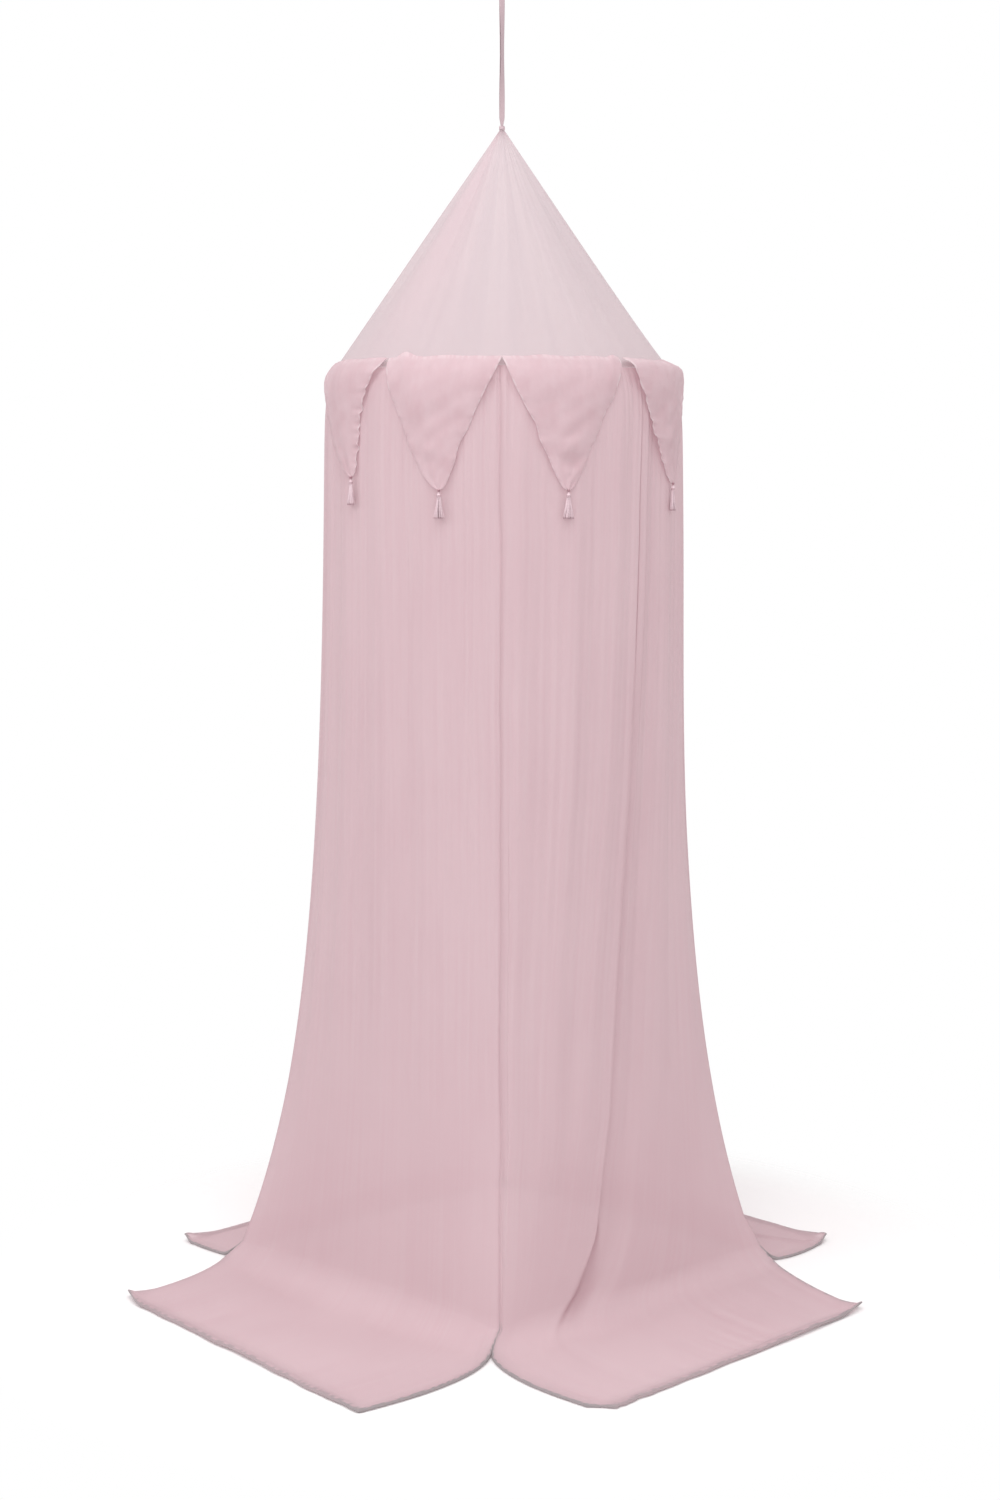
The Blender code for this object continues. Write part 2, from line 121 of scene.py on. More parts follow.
def bearing_from(centre: float, bearing: np.ndarray) -> np.ndarray:
    """Degrees from a bearing round to others, between -180 and 180."""
    return (bearing - centre + 180) % 360 - 180


def run_along(path: np.ndarray) -> np.ndarray:
    """Length of a path from its start to each of its points."""
    steps = np.linalg.norm(np.diff(path, axis=0), axis=1)
    return np.concatenate([[0], np.cumsum(steps)])


def unit(vectors: np.ndarray) -> np.ndarray:
    """Scale vectors to length 1."""
    length = np.linalg.norm(vectors, axis=-1, keepdims=True)
    return vectors / np.maximum(length, 1e-9)


@dataclass(frozen=True)
class Hill:
    """Soft hill of a cloth, or a hollow where its depth is below 0.

    A panel's swells are placed across it and by height, its ripples across it and by
    share of the petal, and a pennant's puffs across and down it.
    """

    across: float
    along: float
    width: float  # half its size across, and along
    length: float
    depth: float

    def at(self, across: np.ndarray, along: np.ndarray) -> np.ndarray:
        """Height of the hill at places on the cloth."""
        return (self.depth * bump(self.across, self.width, across)
                * bump(self.along, self.length, along))


# ---- sizes shared with the solids ----
@dataclass(frozen=True)
class HoopSeam:
    """The hoop and the seam below it, where cone, panels and pennants meet."""

    height: float = 1.600
    radius: float = 0.282
    cover: float = 0.00605  # from the rod's middle to the middle of the cone's cloth
    drop: float = 0.006  # seam below the hoop's centre

    @property
    def outside(self) -> float:
        """Radius of the cloth that wraps the hoop."""
        return self.radius + self.cover


HOOP = HoopSeam()


# ---- meshes ----
class Side(Enum):
    """Sides of a cloth grid that can carry a hem."""

    FIRST = "first column"
    LAST = "last column"
    HEAD = "first row"
    ROUND = "first column, last row and last column"


class Hem(Enum):
    """Ways to finish a cloth's edge: how it turns, in half circles."""

    ROLLED = 2.25
    TURNED = 1.0


def edge_lines(points: Grid, side: Side) -> tuple[np.ndarray, np.ndarray]:
    """Return a grid's outermost line on one side, and the line next to it."""
    if side is Side.ROUND:
        return tuple(np.concatenate([points[:, i], points[-1 - i, 1:-1], points[::-1, -1 - i]])
                     for i in (0, 1))
    lines = {
        Side.FIRST: (points[:, 0], points[:, 1]),
        Side.LAST: (points[:, -1], points[:, -2]),
        Side.HEAD: (points[0], points[1]),
    }
    return lines[side]


def hem_strip(points: Grid, places: Grid, side: Side, hem: Hem,
              radius: float | np.ndarray,
              width: float | np.ndarray = 0.0) -> tuple[Grid, Grid]:
    """Turn a hem under one side of a cloth grid.

    Args:
        points: world points of the cloth, a row for each step down it.
        places: the same points' places on the flat cloth, in metres.
        side: the side that is hemmed.
        hem: rolled into a thin cord, or turned once and laid back flat.
        radius: radius of the turn, for the whole side or for each of its points.
        width: how far a turned hem lies back under the cloth, as the radius is given.

    Returns:
        The strip's points and places, from the cloth's edge to the hem's own edge.
    """
    edge, inner = edge_lines(points, side)
    flat, flat_inner = edge_lines(places, side)
    outward = unit(edge - inner)
    if side is Side.ROUND:
        near = [np.roll(outward, i, axis=0) for i in range(-4, 5)]
        outward[4:-4] = unit(sum(near))[4:-4]
    tangent = unit(np.gradient(edge, axis=0))
    normal = unit(np.cross(tangent, outward))
    if side in (Side.FIRST, Side.ROUND):
        normal = -normal
    past = unit(flat - flat_inner)
    radius, width = (np.broadcast_to(size, len(edge))[:, None] for size in (radius, width))
    strip, cut = [edge], [flat]
    for angle in np.linspace(0, math.pi * hem.value, 9 if hem is Hem.ROLLED else 6)[1:]:
        reach = radius * (1 - ROLL_SHRINK * angle) if hem is Hem.ROLLED else radius
        strip.append(edge + reach * (math.sin(angle) * outward
                                     - (1 - math.cos(angle)) * normal))
        cut.append(flat + past * radius * angle)
    for share in (0.3, 0.6, 1.0):
        if hem is Hem.TURNED:
            depth = mix(2 * radius, HEM_BACK, share)
            strip.append(edge - share * width * outward - depth * normal)
            cut.append(flat + past * (math.pi * radius + share * width))
    return np.stack(strip, axis=1), np.stack(cut, axis=1)


def cloth_mesh(name: str, points: Grid, places: Grid, doubled: np.ndarray | float = 0.0,
               closed: bool = False, painted_edge: np.ndarray | float = 0.0) -> bpy.types.Object:
    """Make a smooth sheet from a grid of points.

    Args:
        name: the piece's name.
        points: world points, rows by columns.
        places: the points' places on the flat cloth, in metres, kept as the UV map.
        doubled: how far each point's cloth lies doubled, with painted shade added in, from 0
            to 1.
        closed: joins the last column to the first.
        painted_edge: how far each point is painted with its finish's edge colour, from 0 to 1:
            a painted shadow along a hem on the floor, a painted highlight along a pennant's
            edge.

    Returns:
        The new object, with its faces pointing out.
    """
    rows, columns = points.shape[:2]
    if closed:
        columns -= 1
    number = np.arange(rows * columns).reshape(rows, columns)
    if closed:
        number = np.concatenate([number, number[:, :1]], axis=1)
    corners = (number[:-1, :-1], number[1:, :-1], number[1:, 1:], number[:-1, 1:])
    faces = np.stack(corners, axis=-1).reshape(-1, 4)
    mesh = bpy.data.meshes.new(name)
    mesh.vertices.add(rows * columns)
    mesh.vertices.foreach_set("co", points[:, :columns].astype(np.float32).ravel())
    mesh.loops.add(faces.size)
    mesh.loops.foreach_set("vertex_index", faces.astype(np.int32).ravel())
    mesh.polygons.add(len(faces))
    mesh.polygons.foreach_set("loop_start", np.arange(0, faces.size, 4, dtype=np.int32))
    mesh.update(calc_edges=True)
    place = (places[:-1, :-1], places[1:, :-1], places[1:, 1:], places[:-1, 1:])
    flat = np.stack(place, axis=2).reshape(-1, 2)
    mesh.uv_layers.new(name="cloth").uv.foreach_set("vector", flat.astype(np.float32).ravel())
    for layer, value in (("doubled", doubled), ("painted_edge", painted_edge)):
        share = np.broadcast_to(value, points.shape[:2])[:, :columns].astype(np.float32)
        mesh.attributes.new(layer, "FLOAT", "POINT").data.foreach_set("value", share.ravel())
    mesh.shade_smooth()
    piece = bpy.data.objects.new(name, mesh)
    bpy.context.scene.collection.objects.link(piece)
    return piece


def joined(name: str, parts: list[bpy.types.Object]) -> bpy.types.Object:
    """Join meshes into one piece and weld the points that they share."""
    bpy.ops.object.select_all(action="DESELECT")
    for part in parts:
        part.select_set(True)
    bpy.context.view_layer.objects.active = parts[0]
    bpy.ops.object.join()
    piece = parts[0]
    piece.name = name
    piece.data.name = name
    shell = bmesh.new()
    shell.from_mesh(piece.data)
    bmesh.ops.remove_doubles(shell, verts=shell.verts, dist=WELD)
    shell.to_mesh(piece.data)
    shell.free()
    return piece


def hemmed(name: str, points: Grid, places: Grid, doubled: np.ndarray,
           hems: dict[Side, tuple]) -> bpy.types.Object:
    """Make a sheet with its hems.

    Args:
        name: the piece's name.
        points: world points of the cloth.
        places: their places on the flat cloth.
        doubled: how far each point's cloth lies doubled, with painted shade added in.
        hems: for each hemmed side, its kind, radius, width, density and the share of its
        painted edge colour: painted shadow on a body's floor hem, painted highlight on a
            pennant's edges.

    Returns:
        The new object.
    """
    parts = [cloth_mesh(name, points, places, doubled)]
    for side, (hem, radius, width, dense, painted_edge_share) in hems.items():
        strip, cut = hem_strip(points, places, side, hem, radius, width)
        if side in (Side.FIRST, Side.ROUND):
            strip, cut = strip[:, ::-1], cut[:, ::-1]
        painted_edge = np.broadcast_to(painted_edge_share, len(strip))[:, None]
        parts.append(cloth_mesh(name + "_hem", strip, cut, dense, painted_edge=painted_edge))
    return joined(name, parts)


def tube(name: str, path: np.ndarray, radii: np.ndarray, sides: int,
         shade: float | np.ndarray = 0.0) -> bpy.types.Object:
    """Make a closed round tube along a path.

    Args:
        name: the piece's name.
        path: points along its middle.
        radii: its radius at each point.
        sides: facets round it.
        shade: painted shade of its yarn at each point, from 0 to 1, dark where it is knotted,
            wound or cut.

    Returns:
        The new object.
    """
    along = unit(np.gradient(path, axis=0))
    aside = unit(np.cross(along, np.array([0.31, 0.87, 0.38])))
    across = np.cross(along, aside)
    angle = np.linspace(0, math.tau, sides + 1)
    circle = aside[:, None] * np.cos(angle)[:, None] + across[:, None] * np.sin(angle)[:, None]
    points = path[:, None] + circle * np.asarray(radii)[:, None, None]
    ends = [np.repeat(path[i][None, None], sides + 1, axis=1) for i in (0, -1)]
    points = np.concatenate([ends[0], points, ends[1]], axis=0)
    run = np.pad(run_along(path), 1, mode="edge")
    around = angle * float(np.mean(radii))
    places = np.stack(np.meshgrid(around, run), axis=-1)
    # painted shade of the yarn, kept in the doubled attribute
    drawn = np.pad(np.broadcast_to(shade, len(path)), 1, mode="edge")[:, None]
    return cloth_mesh(name, points, places, drawn, closed=True)


# ---- finishes ----
def linear(hex_colour: str) -> tuple[float, float, float, float]:
    """Turn an sRGB hex colour into the linear values a shader takes."""
    channels = [int(hex_colour[i : i + 2], 16) / 255 for i in (1, 3, 5)]
    values = [c / 12.92 if c <= 0.04045 else ((c + 0.055) / 1.055) ** 2.4 for c in channels]
    return (*values, 1.0)


def add_node(tree: bpy.types.NodeTree, kind: str, inputs: dict,
             **settings: object) -> bpy.types.Node:
    """Add a node with its settings, values and links.

    Args:
        tree: the node tree it goes in.
        kind: the node's type, without its prefix.
        inputs: each socket's value, or the output that is linked to it.
        settings: the node's own properties.

    Returns:
        The node.
    """
    node = tree.nodes.new("ShaderNode" + kind)
    for name, value in settings.items():
        setattr(node, name, value)
    for key, value in inputs.items():
        if isinstance(value, bpy.types.NodeSocket):
            tree.links.new(value, node.inputs[key])
        else:
            node.inputs[key].default_value = value
    return node


def new_material(name: str) -> tuple[bpy.types.Material, bpy.types.NodeTree]:
    """Make an empty node material."""
    material = bpy.data.materials.new(name)
    material.use_nodes = True
    material.node_tree.nodes.clear()
    return material, material.node_tree


def band_scale(size_mm: float) -> float:
    """Scale at which a wave texture repeats once in a size."""
    return 1000 / size_mm * math.pi / 10


@dataclass(frozen=True)
class CottonVoile:
    """Voile: fine, tightly twisted cotton yarn in an open plain weave, piece-dyed.

    To the eye it is matt and soft. Light comes through its open weave and glows in its
    yarn, so a second layer behind it deepens the colour, and uneven yarn gives faint
    streaks down the cloth.
    """

    name: str
    colour: str
    streak: str  # colour of the denser yarn
    dense: str  # colour where it lies doubled; also paints shade into the pleat's folds and a pinker band on the cone
    edge: str  # painted edge colour of its hems: a grey shadow where a body's hem lies on the floor, a pale highlight along a pennant's rolled edges
    open_share: float  # light that passes between the threads
    glow: float  # share of the rest that is scattered through the yarn
    thread_mm: float = 1.1  # real spacing is 0.35 mm: drawn coarser, or it doesn't show
    streak_mm: tuple[float, float] = (7.0, 420.0)

    def build(self) -> bpy.types.Material:
        """Make the material. Its patterns read the flat cloth's places, in metres."""
        material, tree = new_material(self.name)
        cloth = add_node(tree, "UVMap", {}, uv_map="cloth").outputs["UV"]
        wide, long = (1000 / size for size in self.streak_mm)
        streaks_at = add_node(tree, "VectorMath", {0: cloth, 1: (wide, long, 1.0)},
                              operation="MULTIPLY")
        streaks = add_node(tree, "TexNoise", {
            "Vector": streaks_at.outputs[0], "Scale": 1.0, "Detail": 3.0, "Roughness": 0.6})
        clouds = add_node(tree, "TexNoise", {"Vector": cloth, "Scale": 4.0, "Detail": 2.0})
        threads = [add_node(tree, "TexWave", {
            "Vector": cloth, "Scale": band_scale(self.thread_mm), "Distortion": 0.6,
            "Detail": 1.0}, bands_direction=way).outputs["Fac"] for way in ("X", "Y")]
        weave = add_node(tree, "Math", dict(enumerate(threads)), operation="MAXIMUM")
        uneven = add_node(tree, "Mix", {0: 0.35, 2: streaks.outputs["Fac"],
                                        3: clouds.outputs["Fac"]}, data_type="FLOAT")
        shade = add_node(tree, "MapRange", {
            "Value": uneven.outputs[0], "From Min": 0.35, "From Max": 0.65})
        colour = add_node(tree, "Mix", {
            0: shade.outputs[0], 6: linear(self.colour), 7: linear(self.streak)},
            data_type="RGBA")
        shares = {}
        # dense colour: doubled cloth plus painted shade; edge colour: painted shadow on floor
        # hems, painted highlight on pennant edges
        for layer, tint in (("doubled", self.dense), ("painted_edge", self.edge)):
            read = add_node(tree, "Attribute", {}, attribute_name=layer)
            shares[layer] = read.outputs["Fac"]
            colour = add_node(tree, "Mix", {
                0: shares[layer], 6: colour.outputs[2], 7: linear(tint)}, data_type="RGBA")
        relief = add_node(tree, "Bump", {
            "Height": weave.outputs[0], "Strength": 0.12, "Distance": 0.0002})
        yarn = add_node(tree, "BsdfPrincipled", {
            "Base Color": colour.outputs[2], "Roughness": 0.92, "Specular IOR Level": 0.2,
            "Sheen Weight": 0.15, "Sheen Roughness": 0.5, "Sheen Tint": linear("#ffffff"),
            "Normal": relief.outputs[0]})
        through = add_node(tree, "BsdfTranslucent", {"Color": colour.outputs[2]})
        lit = add_node(tree, "MixShader", {0: self.glow, 1: yarn.outputs[0],
                                           2: through.outputs[0]})
        gaps = add_node(tree, "MapRange", {
            "Value": weave.outputs[0], "From Min": 0.3, "From Max": 1.0,
            "To Min": self.open_share * 1.5, "To Max": self.open_share * 0.7})
        clear = add_node(tree, "MapRange", {
            "Value": uneven.outputs[0], "From Min": 0.3, "From Max": 0.7,
            "To Min": 1.25, "To Max": 0.75})
        layers = add_node(tree, "MapRange", {
            "Value": shares["doubled"], "To Min": 1.0, "To Max": 0.3})
        woven = add_node(tree, "Math", {0: gaps.outputs[0], 1: clear.outputs[0]},
                         operation="MULTIPLY")
        open_share = add_node(tree, "Math", {0: woven.outputs[0], 1: layers.outputs[0]},
                              operation="MULTIPLY")
        gap = add_node(tree, "BsdfTransparent", {})
        surface = add_node(tree, "MixShader", {
            0: open_share.outputs[0], 1: lit.outputs[0], 2: gap.outputs[0]})
        add_node(tree, "OutputMaterial", {"Surface": surface.outputs[0]})
        return material


@dataclass(frozen=True)
class RibbedYarn:
    """Yarn that lies in fine ribs, from its own twist or from the way it is woven."""

    name: str
    colour: str
    groove: str  # between its ribs
    drawn: str  # where it is wound or cut, and holds its own shadow
    rib_mm: float
    ribs: str  # the way they follow each other on the cloth
    uneven: float
    relief: float
    roughness: float
    sheen: float
    gloss: float

    def build(self) -> bpy.types.Material:
        """Make the material. Its ribs read the flat cloth's places, in metres."""
        material, tree = new_material(self.name)
        cloth = add_node(tree, "UVMap", {}, uv_map="cloth").outputs["UV"]
        ribs = add_node(tree, "TexWave", {
            "Vector": cloth, "Scale": band_scale(self.rib_mm),
            "Distortion": self.uneven}, bands_direction=self.ribs).outputs["Fac"]
        colour = add_node(tree, "Mix", {
            0: ribs, 6: linear(self.groove), 7: linear(self.colour)}, data_type="RGBA")
        # painted shade where the yarn is knotted, wound or cut
        drawn = add_node(tree, "Attribute", {}, attribute_name="doubled")
        colour = add_node(tree, "Mix", {
            0: drawn.outputs["Fac"], 6: colour.outputs[2], 7: linear(self.drawn)},
            data_type="RGBA")
        relief = add_node(tree, "Bump", {
            "Height": ribs, "Strength": self.relief, "Distance": 0.0002})
        yarn = add_node(tree, "BsdfPrincipled", {
            "Base Color": colour.outputs[2], "Roughness": self.roughness,
            "Sheen Weight": self.sheen, "Specular IOR Level": self.gloss,
            "Normal": relief.outputs[0]})
        add_node(tree, "OutputMaterial", {"Surface": yarn.outputs[0]})
        return material


@dataclass(frozen=True)
class DrawnPlasticRod:
    """White polyethylene rod, extruded and bent round. Fine draw lines dull its gloss."""

    name: str = "extruded_polyethylene_rod"
    colour: str = "#f0ecea"
    line_mm: float = 0.8

    def build(self) -> bpy.types.Material:
        """Make the material. Its draw lines come from stretched noise."""
        material, tree = new_material(self.name)
        place = add_node(tree, "TexCoord", {}).outputs["Object"]
        lines = add_node(tree, "TexNoise", {
            "Vector": place, "Scale": 1000 / self.line_mm / 4, "Detail": 2.0})
        rough = add_node(tree, "MapRange", {
            "Value": lines.outputs["Fac"], "To Min": 0.32, "To Max": 0.5})
        relief = add_node(tree, "Bump", {
            "Height": lines.outputs["Fac"], "Strength": 0.1, "Distance": 0.0001})
        rod = add_node(tree, "BsdfPrincipled", {
            "Base Color": linear(self.colour), "Roughness": rough.outputs[0], "IOR": 1.51,
            "Normal": relief.outputs[0]})
        add_node(tree, "OutputMaterial", {"Surface": rod.outputs[0]})
        return material


@dataclass(frozen=True)
class StudioFloor:
    """Pale matt floor, which fades into the white round it."""

    name: str = "matt_painted_floor"
    colour: str = "#fcfafa"
    fade: tuple[float, float] = (0.72, 0.95)  # from and to this far from its middle

    def build(self) -> bpy.types.Material:
        """Make the material."""
        material, tree = new_material(self.name)
        place = add_node(tree, "TexCoord", {}).outputs["Object"]
        far = add_node(tree, "VectorMath", {0: place}, operation="LENGTH")
        paint = add_node(tree, "BsdfDiffuse", {"Color": linear(self.colour)})
        clear = add_node(tree, "BsdfTransparent", {})
        share = add_node(tree, "MapRange", {
            "Value": far.outputs["Value"], "From Min": self.fade[0], "From Max": self.fade[1]},
            interpolation_type="SMOOTHSTEP")
        surface = add_node(tree, "MixShader", {
            0: share.outputs[0], 1: paint.outputs[0], 2: clear.outputs[0]})
        add_node(tree, "OutputMaterial", {"Surface": surface.outputs[0]})
        return material


# soft two-ply cotton: matt to the eye, with a fine slanting twist round each strand
TASSEL_YARN = RibbedYarn("two_ply_cotton_yarn", "#e8d2d8", "#dcc2c9", "#96636e", 1.2,
                         "DIAGONAL", 1.2, 0.4, 0.85, 0.2, 0.25)
# narrow polyester tape, woven with fine cross ribs: it has a slight silky sheen. Real
# ribs are 0.7 mm apart: drawn coarser, or they don't show
WOVEN_TAPE = RibbedYarn("rib_woven_polyester_tape", "#bfa9ae", "#ad959b", "#ad959b", 1.4,
                        "Y", 0.3, 0.5, 0.6, 0.15, 0.4)
# the three cuts of voile: a single layer is paler and more open than a doubled one
# their edge colours are painted light and shade: a grey shadow on the body's floor hems, a
# pale highlight on the pennants' edges
BODY_VOILE = CottonVoile("piece_dyed_cotton_voile", "#e3cacf", "#dcc0c6", "#b8929a",
                         "#b4abad", 0.14, 0.30)
CONE_VOILE = CottonVoile("single_layer_cotton_voile", "#e3d4d7", "#d9cbcf", "#e0c1c9",
                         "#e5d8db", 0.24, 0.38, streak_mm=(24.0, 500.0))
PENNANT_VOILE = CottonVoile("doubled_cotton_voile", "#e9d3d8", "#dec2c8", "#bf8f9a",
                            "#f0e2e5", 0.12, 0.36, streak_mm=(34.0, 52.0))


# ---- cone ----
@dataclass(frozen=True)
class RadialFold:
    """A fold that runs down the cone from its apex."""

    bearing: float
    width: float  # degrees to each side
    depth: float  # outwards, or inwards below 0


@dataclass
class Cone:
    """The sheer cone, gathered at its apex, whose hem wraps the hoop."""

    neck_radius: float = 0.0043
    neck_top: float = 2.014
    neck_length: float = 0.008
    folds: int = 12
    fold_depth: float = 0.0030
    uneven: float = 0.3
    gathers: int = 46  # fine pleats that the apex draws in
    gather_depth: float = 0.0005
    gather_fade: float = 0.12  # share of the slope over which they fade
    sag: float = 0.0025
    painted_shade_gore: tuple[float, float] = (-133.0, 34.0)  # painted shade: a pinker, deeper band down the cone's front left, from how the light falls; its bearing, half width
    columns: int = 552
    slope_rows: int = 90
    flat: tuple[float, float] = (1.90, 0.52)  # four gores side by side
    area: float = 0.51  # each gore tapers to the apex
    creases: tuple[RadialFold, ...] = (
        RadialFold(-86.0, 5.0, 0.0016),
        RadialFold(-96.0, 7.0, -0.0014),
        RadialFold(-70.0, 6.0, 0.0012),
        RadialFold(-113.0, 5.0, 0.0010),
        RadialFold(-52.0, 7.0, -0.0014),
        RadialFold(-134.0, 8.0, 0.0014),
        RadialFold(60.0, 7.0, 0.0014),
        RadialFold(112.0, 6.0, -0.0012),
    )

    def profile(self) -> np.ndarray:
        """List (radius, height, share of the slope) from the neck to the seam band."""
        foot = self.neck_top - self.neck_length
        lean = math.atan2(foot - HOOP.height, HOOP.radius - self.neck_radius)
        touch = (HOOP.radius + HOOP.cover * math.sin(lean),
                 HOOP.height + HOOP.cover * math.cos(lean))
        rows = [(self.neck_radius, mix(self.neck_top, foot, s), 0.0) for s in (0, 0.33, 0.67)]
        for share in np.linspace(0, 1, self.slope_rows):
            rows.append((mix(self.neck_radius, touch[0], share),
                         mix(foot, touch[1], share), share))
        for angle in np.radians(np.linspace(90 - math.degrees(lean), 0, 5)[1:]):
            rows.append((HOOP.radius + HOOP.cover * math.cos(angle),
                         HOOP.height + HOOP.cover * math.sin(angle), 1.0))
        for drop in (0.002, 0.004, HOOP.drop):
            rows.append((HOOP.outside, HOOP.height - drop, 1.0))
        return np.array(rows)

    def build(self, voile: bpy.types.Material, yarn: bpy.types.Material) -> bpy.types.Object:
        """Build the cone's cloth and the thread that binds its neck."""
        radius, height, slope = (part[:, None] for part in self.profile().T)
        around = np.linspace(0, 1, self.columns + 1)[None]
        bearing = 360 * around
        rise = np.sin(math.pi * np.clip(slope, 0, 1))
        uneven = 1 - self.uneven * (1 - np.sin(math.tau * 2 * around + 1.0))
        swell = self.fold_depth * rise * np.sin(math.tau * self.folds * around) * uneven
        tight = np.exp(-slope / self.gather_fade) * np.minimum(
            radius * 0.06, self.gather_depth)
        swell = swell + tight * np.sin(math.tau * self.gathers * around
                                       + 1.3 * np.sin(math.tau * 5 * around))
        fine = 0.0006 * rise * np.exp(-slope / 0.5)
        swell = swell + fine * waves(around * 360, (6.0, 8.2, 11.0), 5) - self.sag * rise
        for crease in self.creases:
            away = bearing_from(crease.bearing, bearing)
            swell = swell + crease.depth * rise ** 0.7 * bump(0, crease.width, away)
        swell = swell * (slope < 1.0)
        points = polar(bearing, radius + swell, height + swell / 2)
        run = run_along(np.hstack([radius, height]))
        places = stacked(around * self.flat[0], run[:, None])
        # painted shade: the cone's pinker band on its front left
        away = bearing_from(self.painted_shade_gore[0], bearing)
        doubled = 0.45 * bump(0.0, self.painted_shade_gore[1], away) * rise ** 0.3 * (1 - 0.6 * slope)
        cloth = cloth_mesh("cone_cloth", points, places, doubled, closed=True)
        cloth.data.materials.append(voile)
        return joined("cone_sheer", [cloth, self.binding(yarn)])

    def binding(self, yarn: bpy.types.Material) -> bpy.types.Object:
        """Wind the binding thread round the neck."""
        turn = np.linspace(0, 5, 121)
        height = mix(self.neck_top - 0.0010, self.neck_top - 0.0062, turn / 5)
        path = polar(360 * turn, self.neck_radius + 0.0005, height)
        thread = tube("neck_thread", path, np.full(len(path), 0.00040), 6)
        thread.data.materials.append(yarn)
        return thread

    def dress(self, voile: bpy.types.Material, yarn: bpy.types.Material) -> None:
        """Build the cone and put it in the frame."""
        piece = self.build(voile, yarn)
        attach(piece, "root")
        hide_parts("cone")
        LOG.info("cone: %d faces", len(piece.data.polygons))


# ---- body panels ----
@dataclass(frozen=True)
class Corner:
    """A corner of the body: its bearing, its bulge above, its reach and foot below."""

    bearing: float
    drift: float  # degrees it moves down to the floor
    bulge: float
    reach: float
    foot: tuple[float, float]


@dataclass(frozen=True)
class PetalEdge:
    """A panel's edge on the floor: where it bends, its hem corner and the curl there."""

    bend: tuple[float, float]
    hem: tuple[float, float]
    lift: float
    rounded: float = 0.035  # share of its length that its rounded corner takes off


@dataclass(frozen=True)
class Crease:
    """Pressed fold line of a petal: from where to where, half width and height."""

    start: tuple[float, float]
    finish: tuple[float, float]
    width: float
    height: float


FRONT = Corner(-90.0, -0.5, 0.000, 0.482, (-0.018, -0.480))
RIGHT = Corner(0.0, -1.8, 0.008, 0.487, (0.489, -0.021))
BACK = Corner(90.0, -0.3, 0.000, 0.450, (0.002, 0.450))
LEFT = Corner(180.0, -0.4, 0.000, 0.505, (-0.502, 0.006))


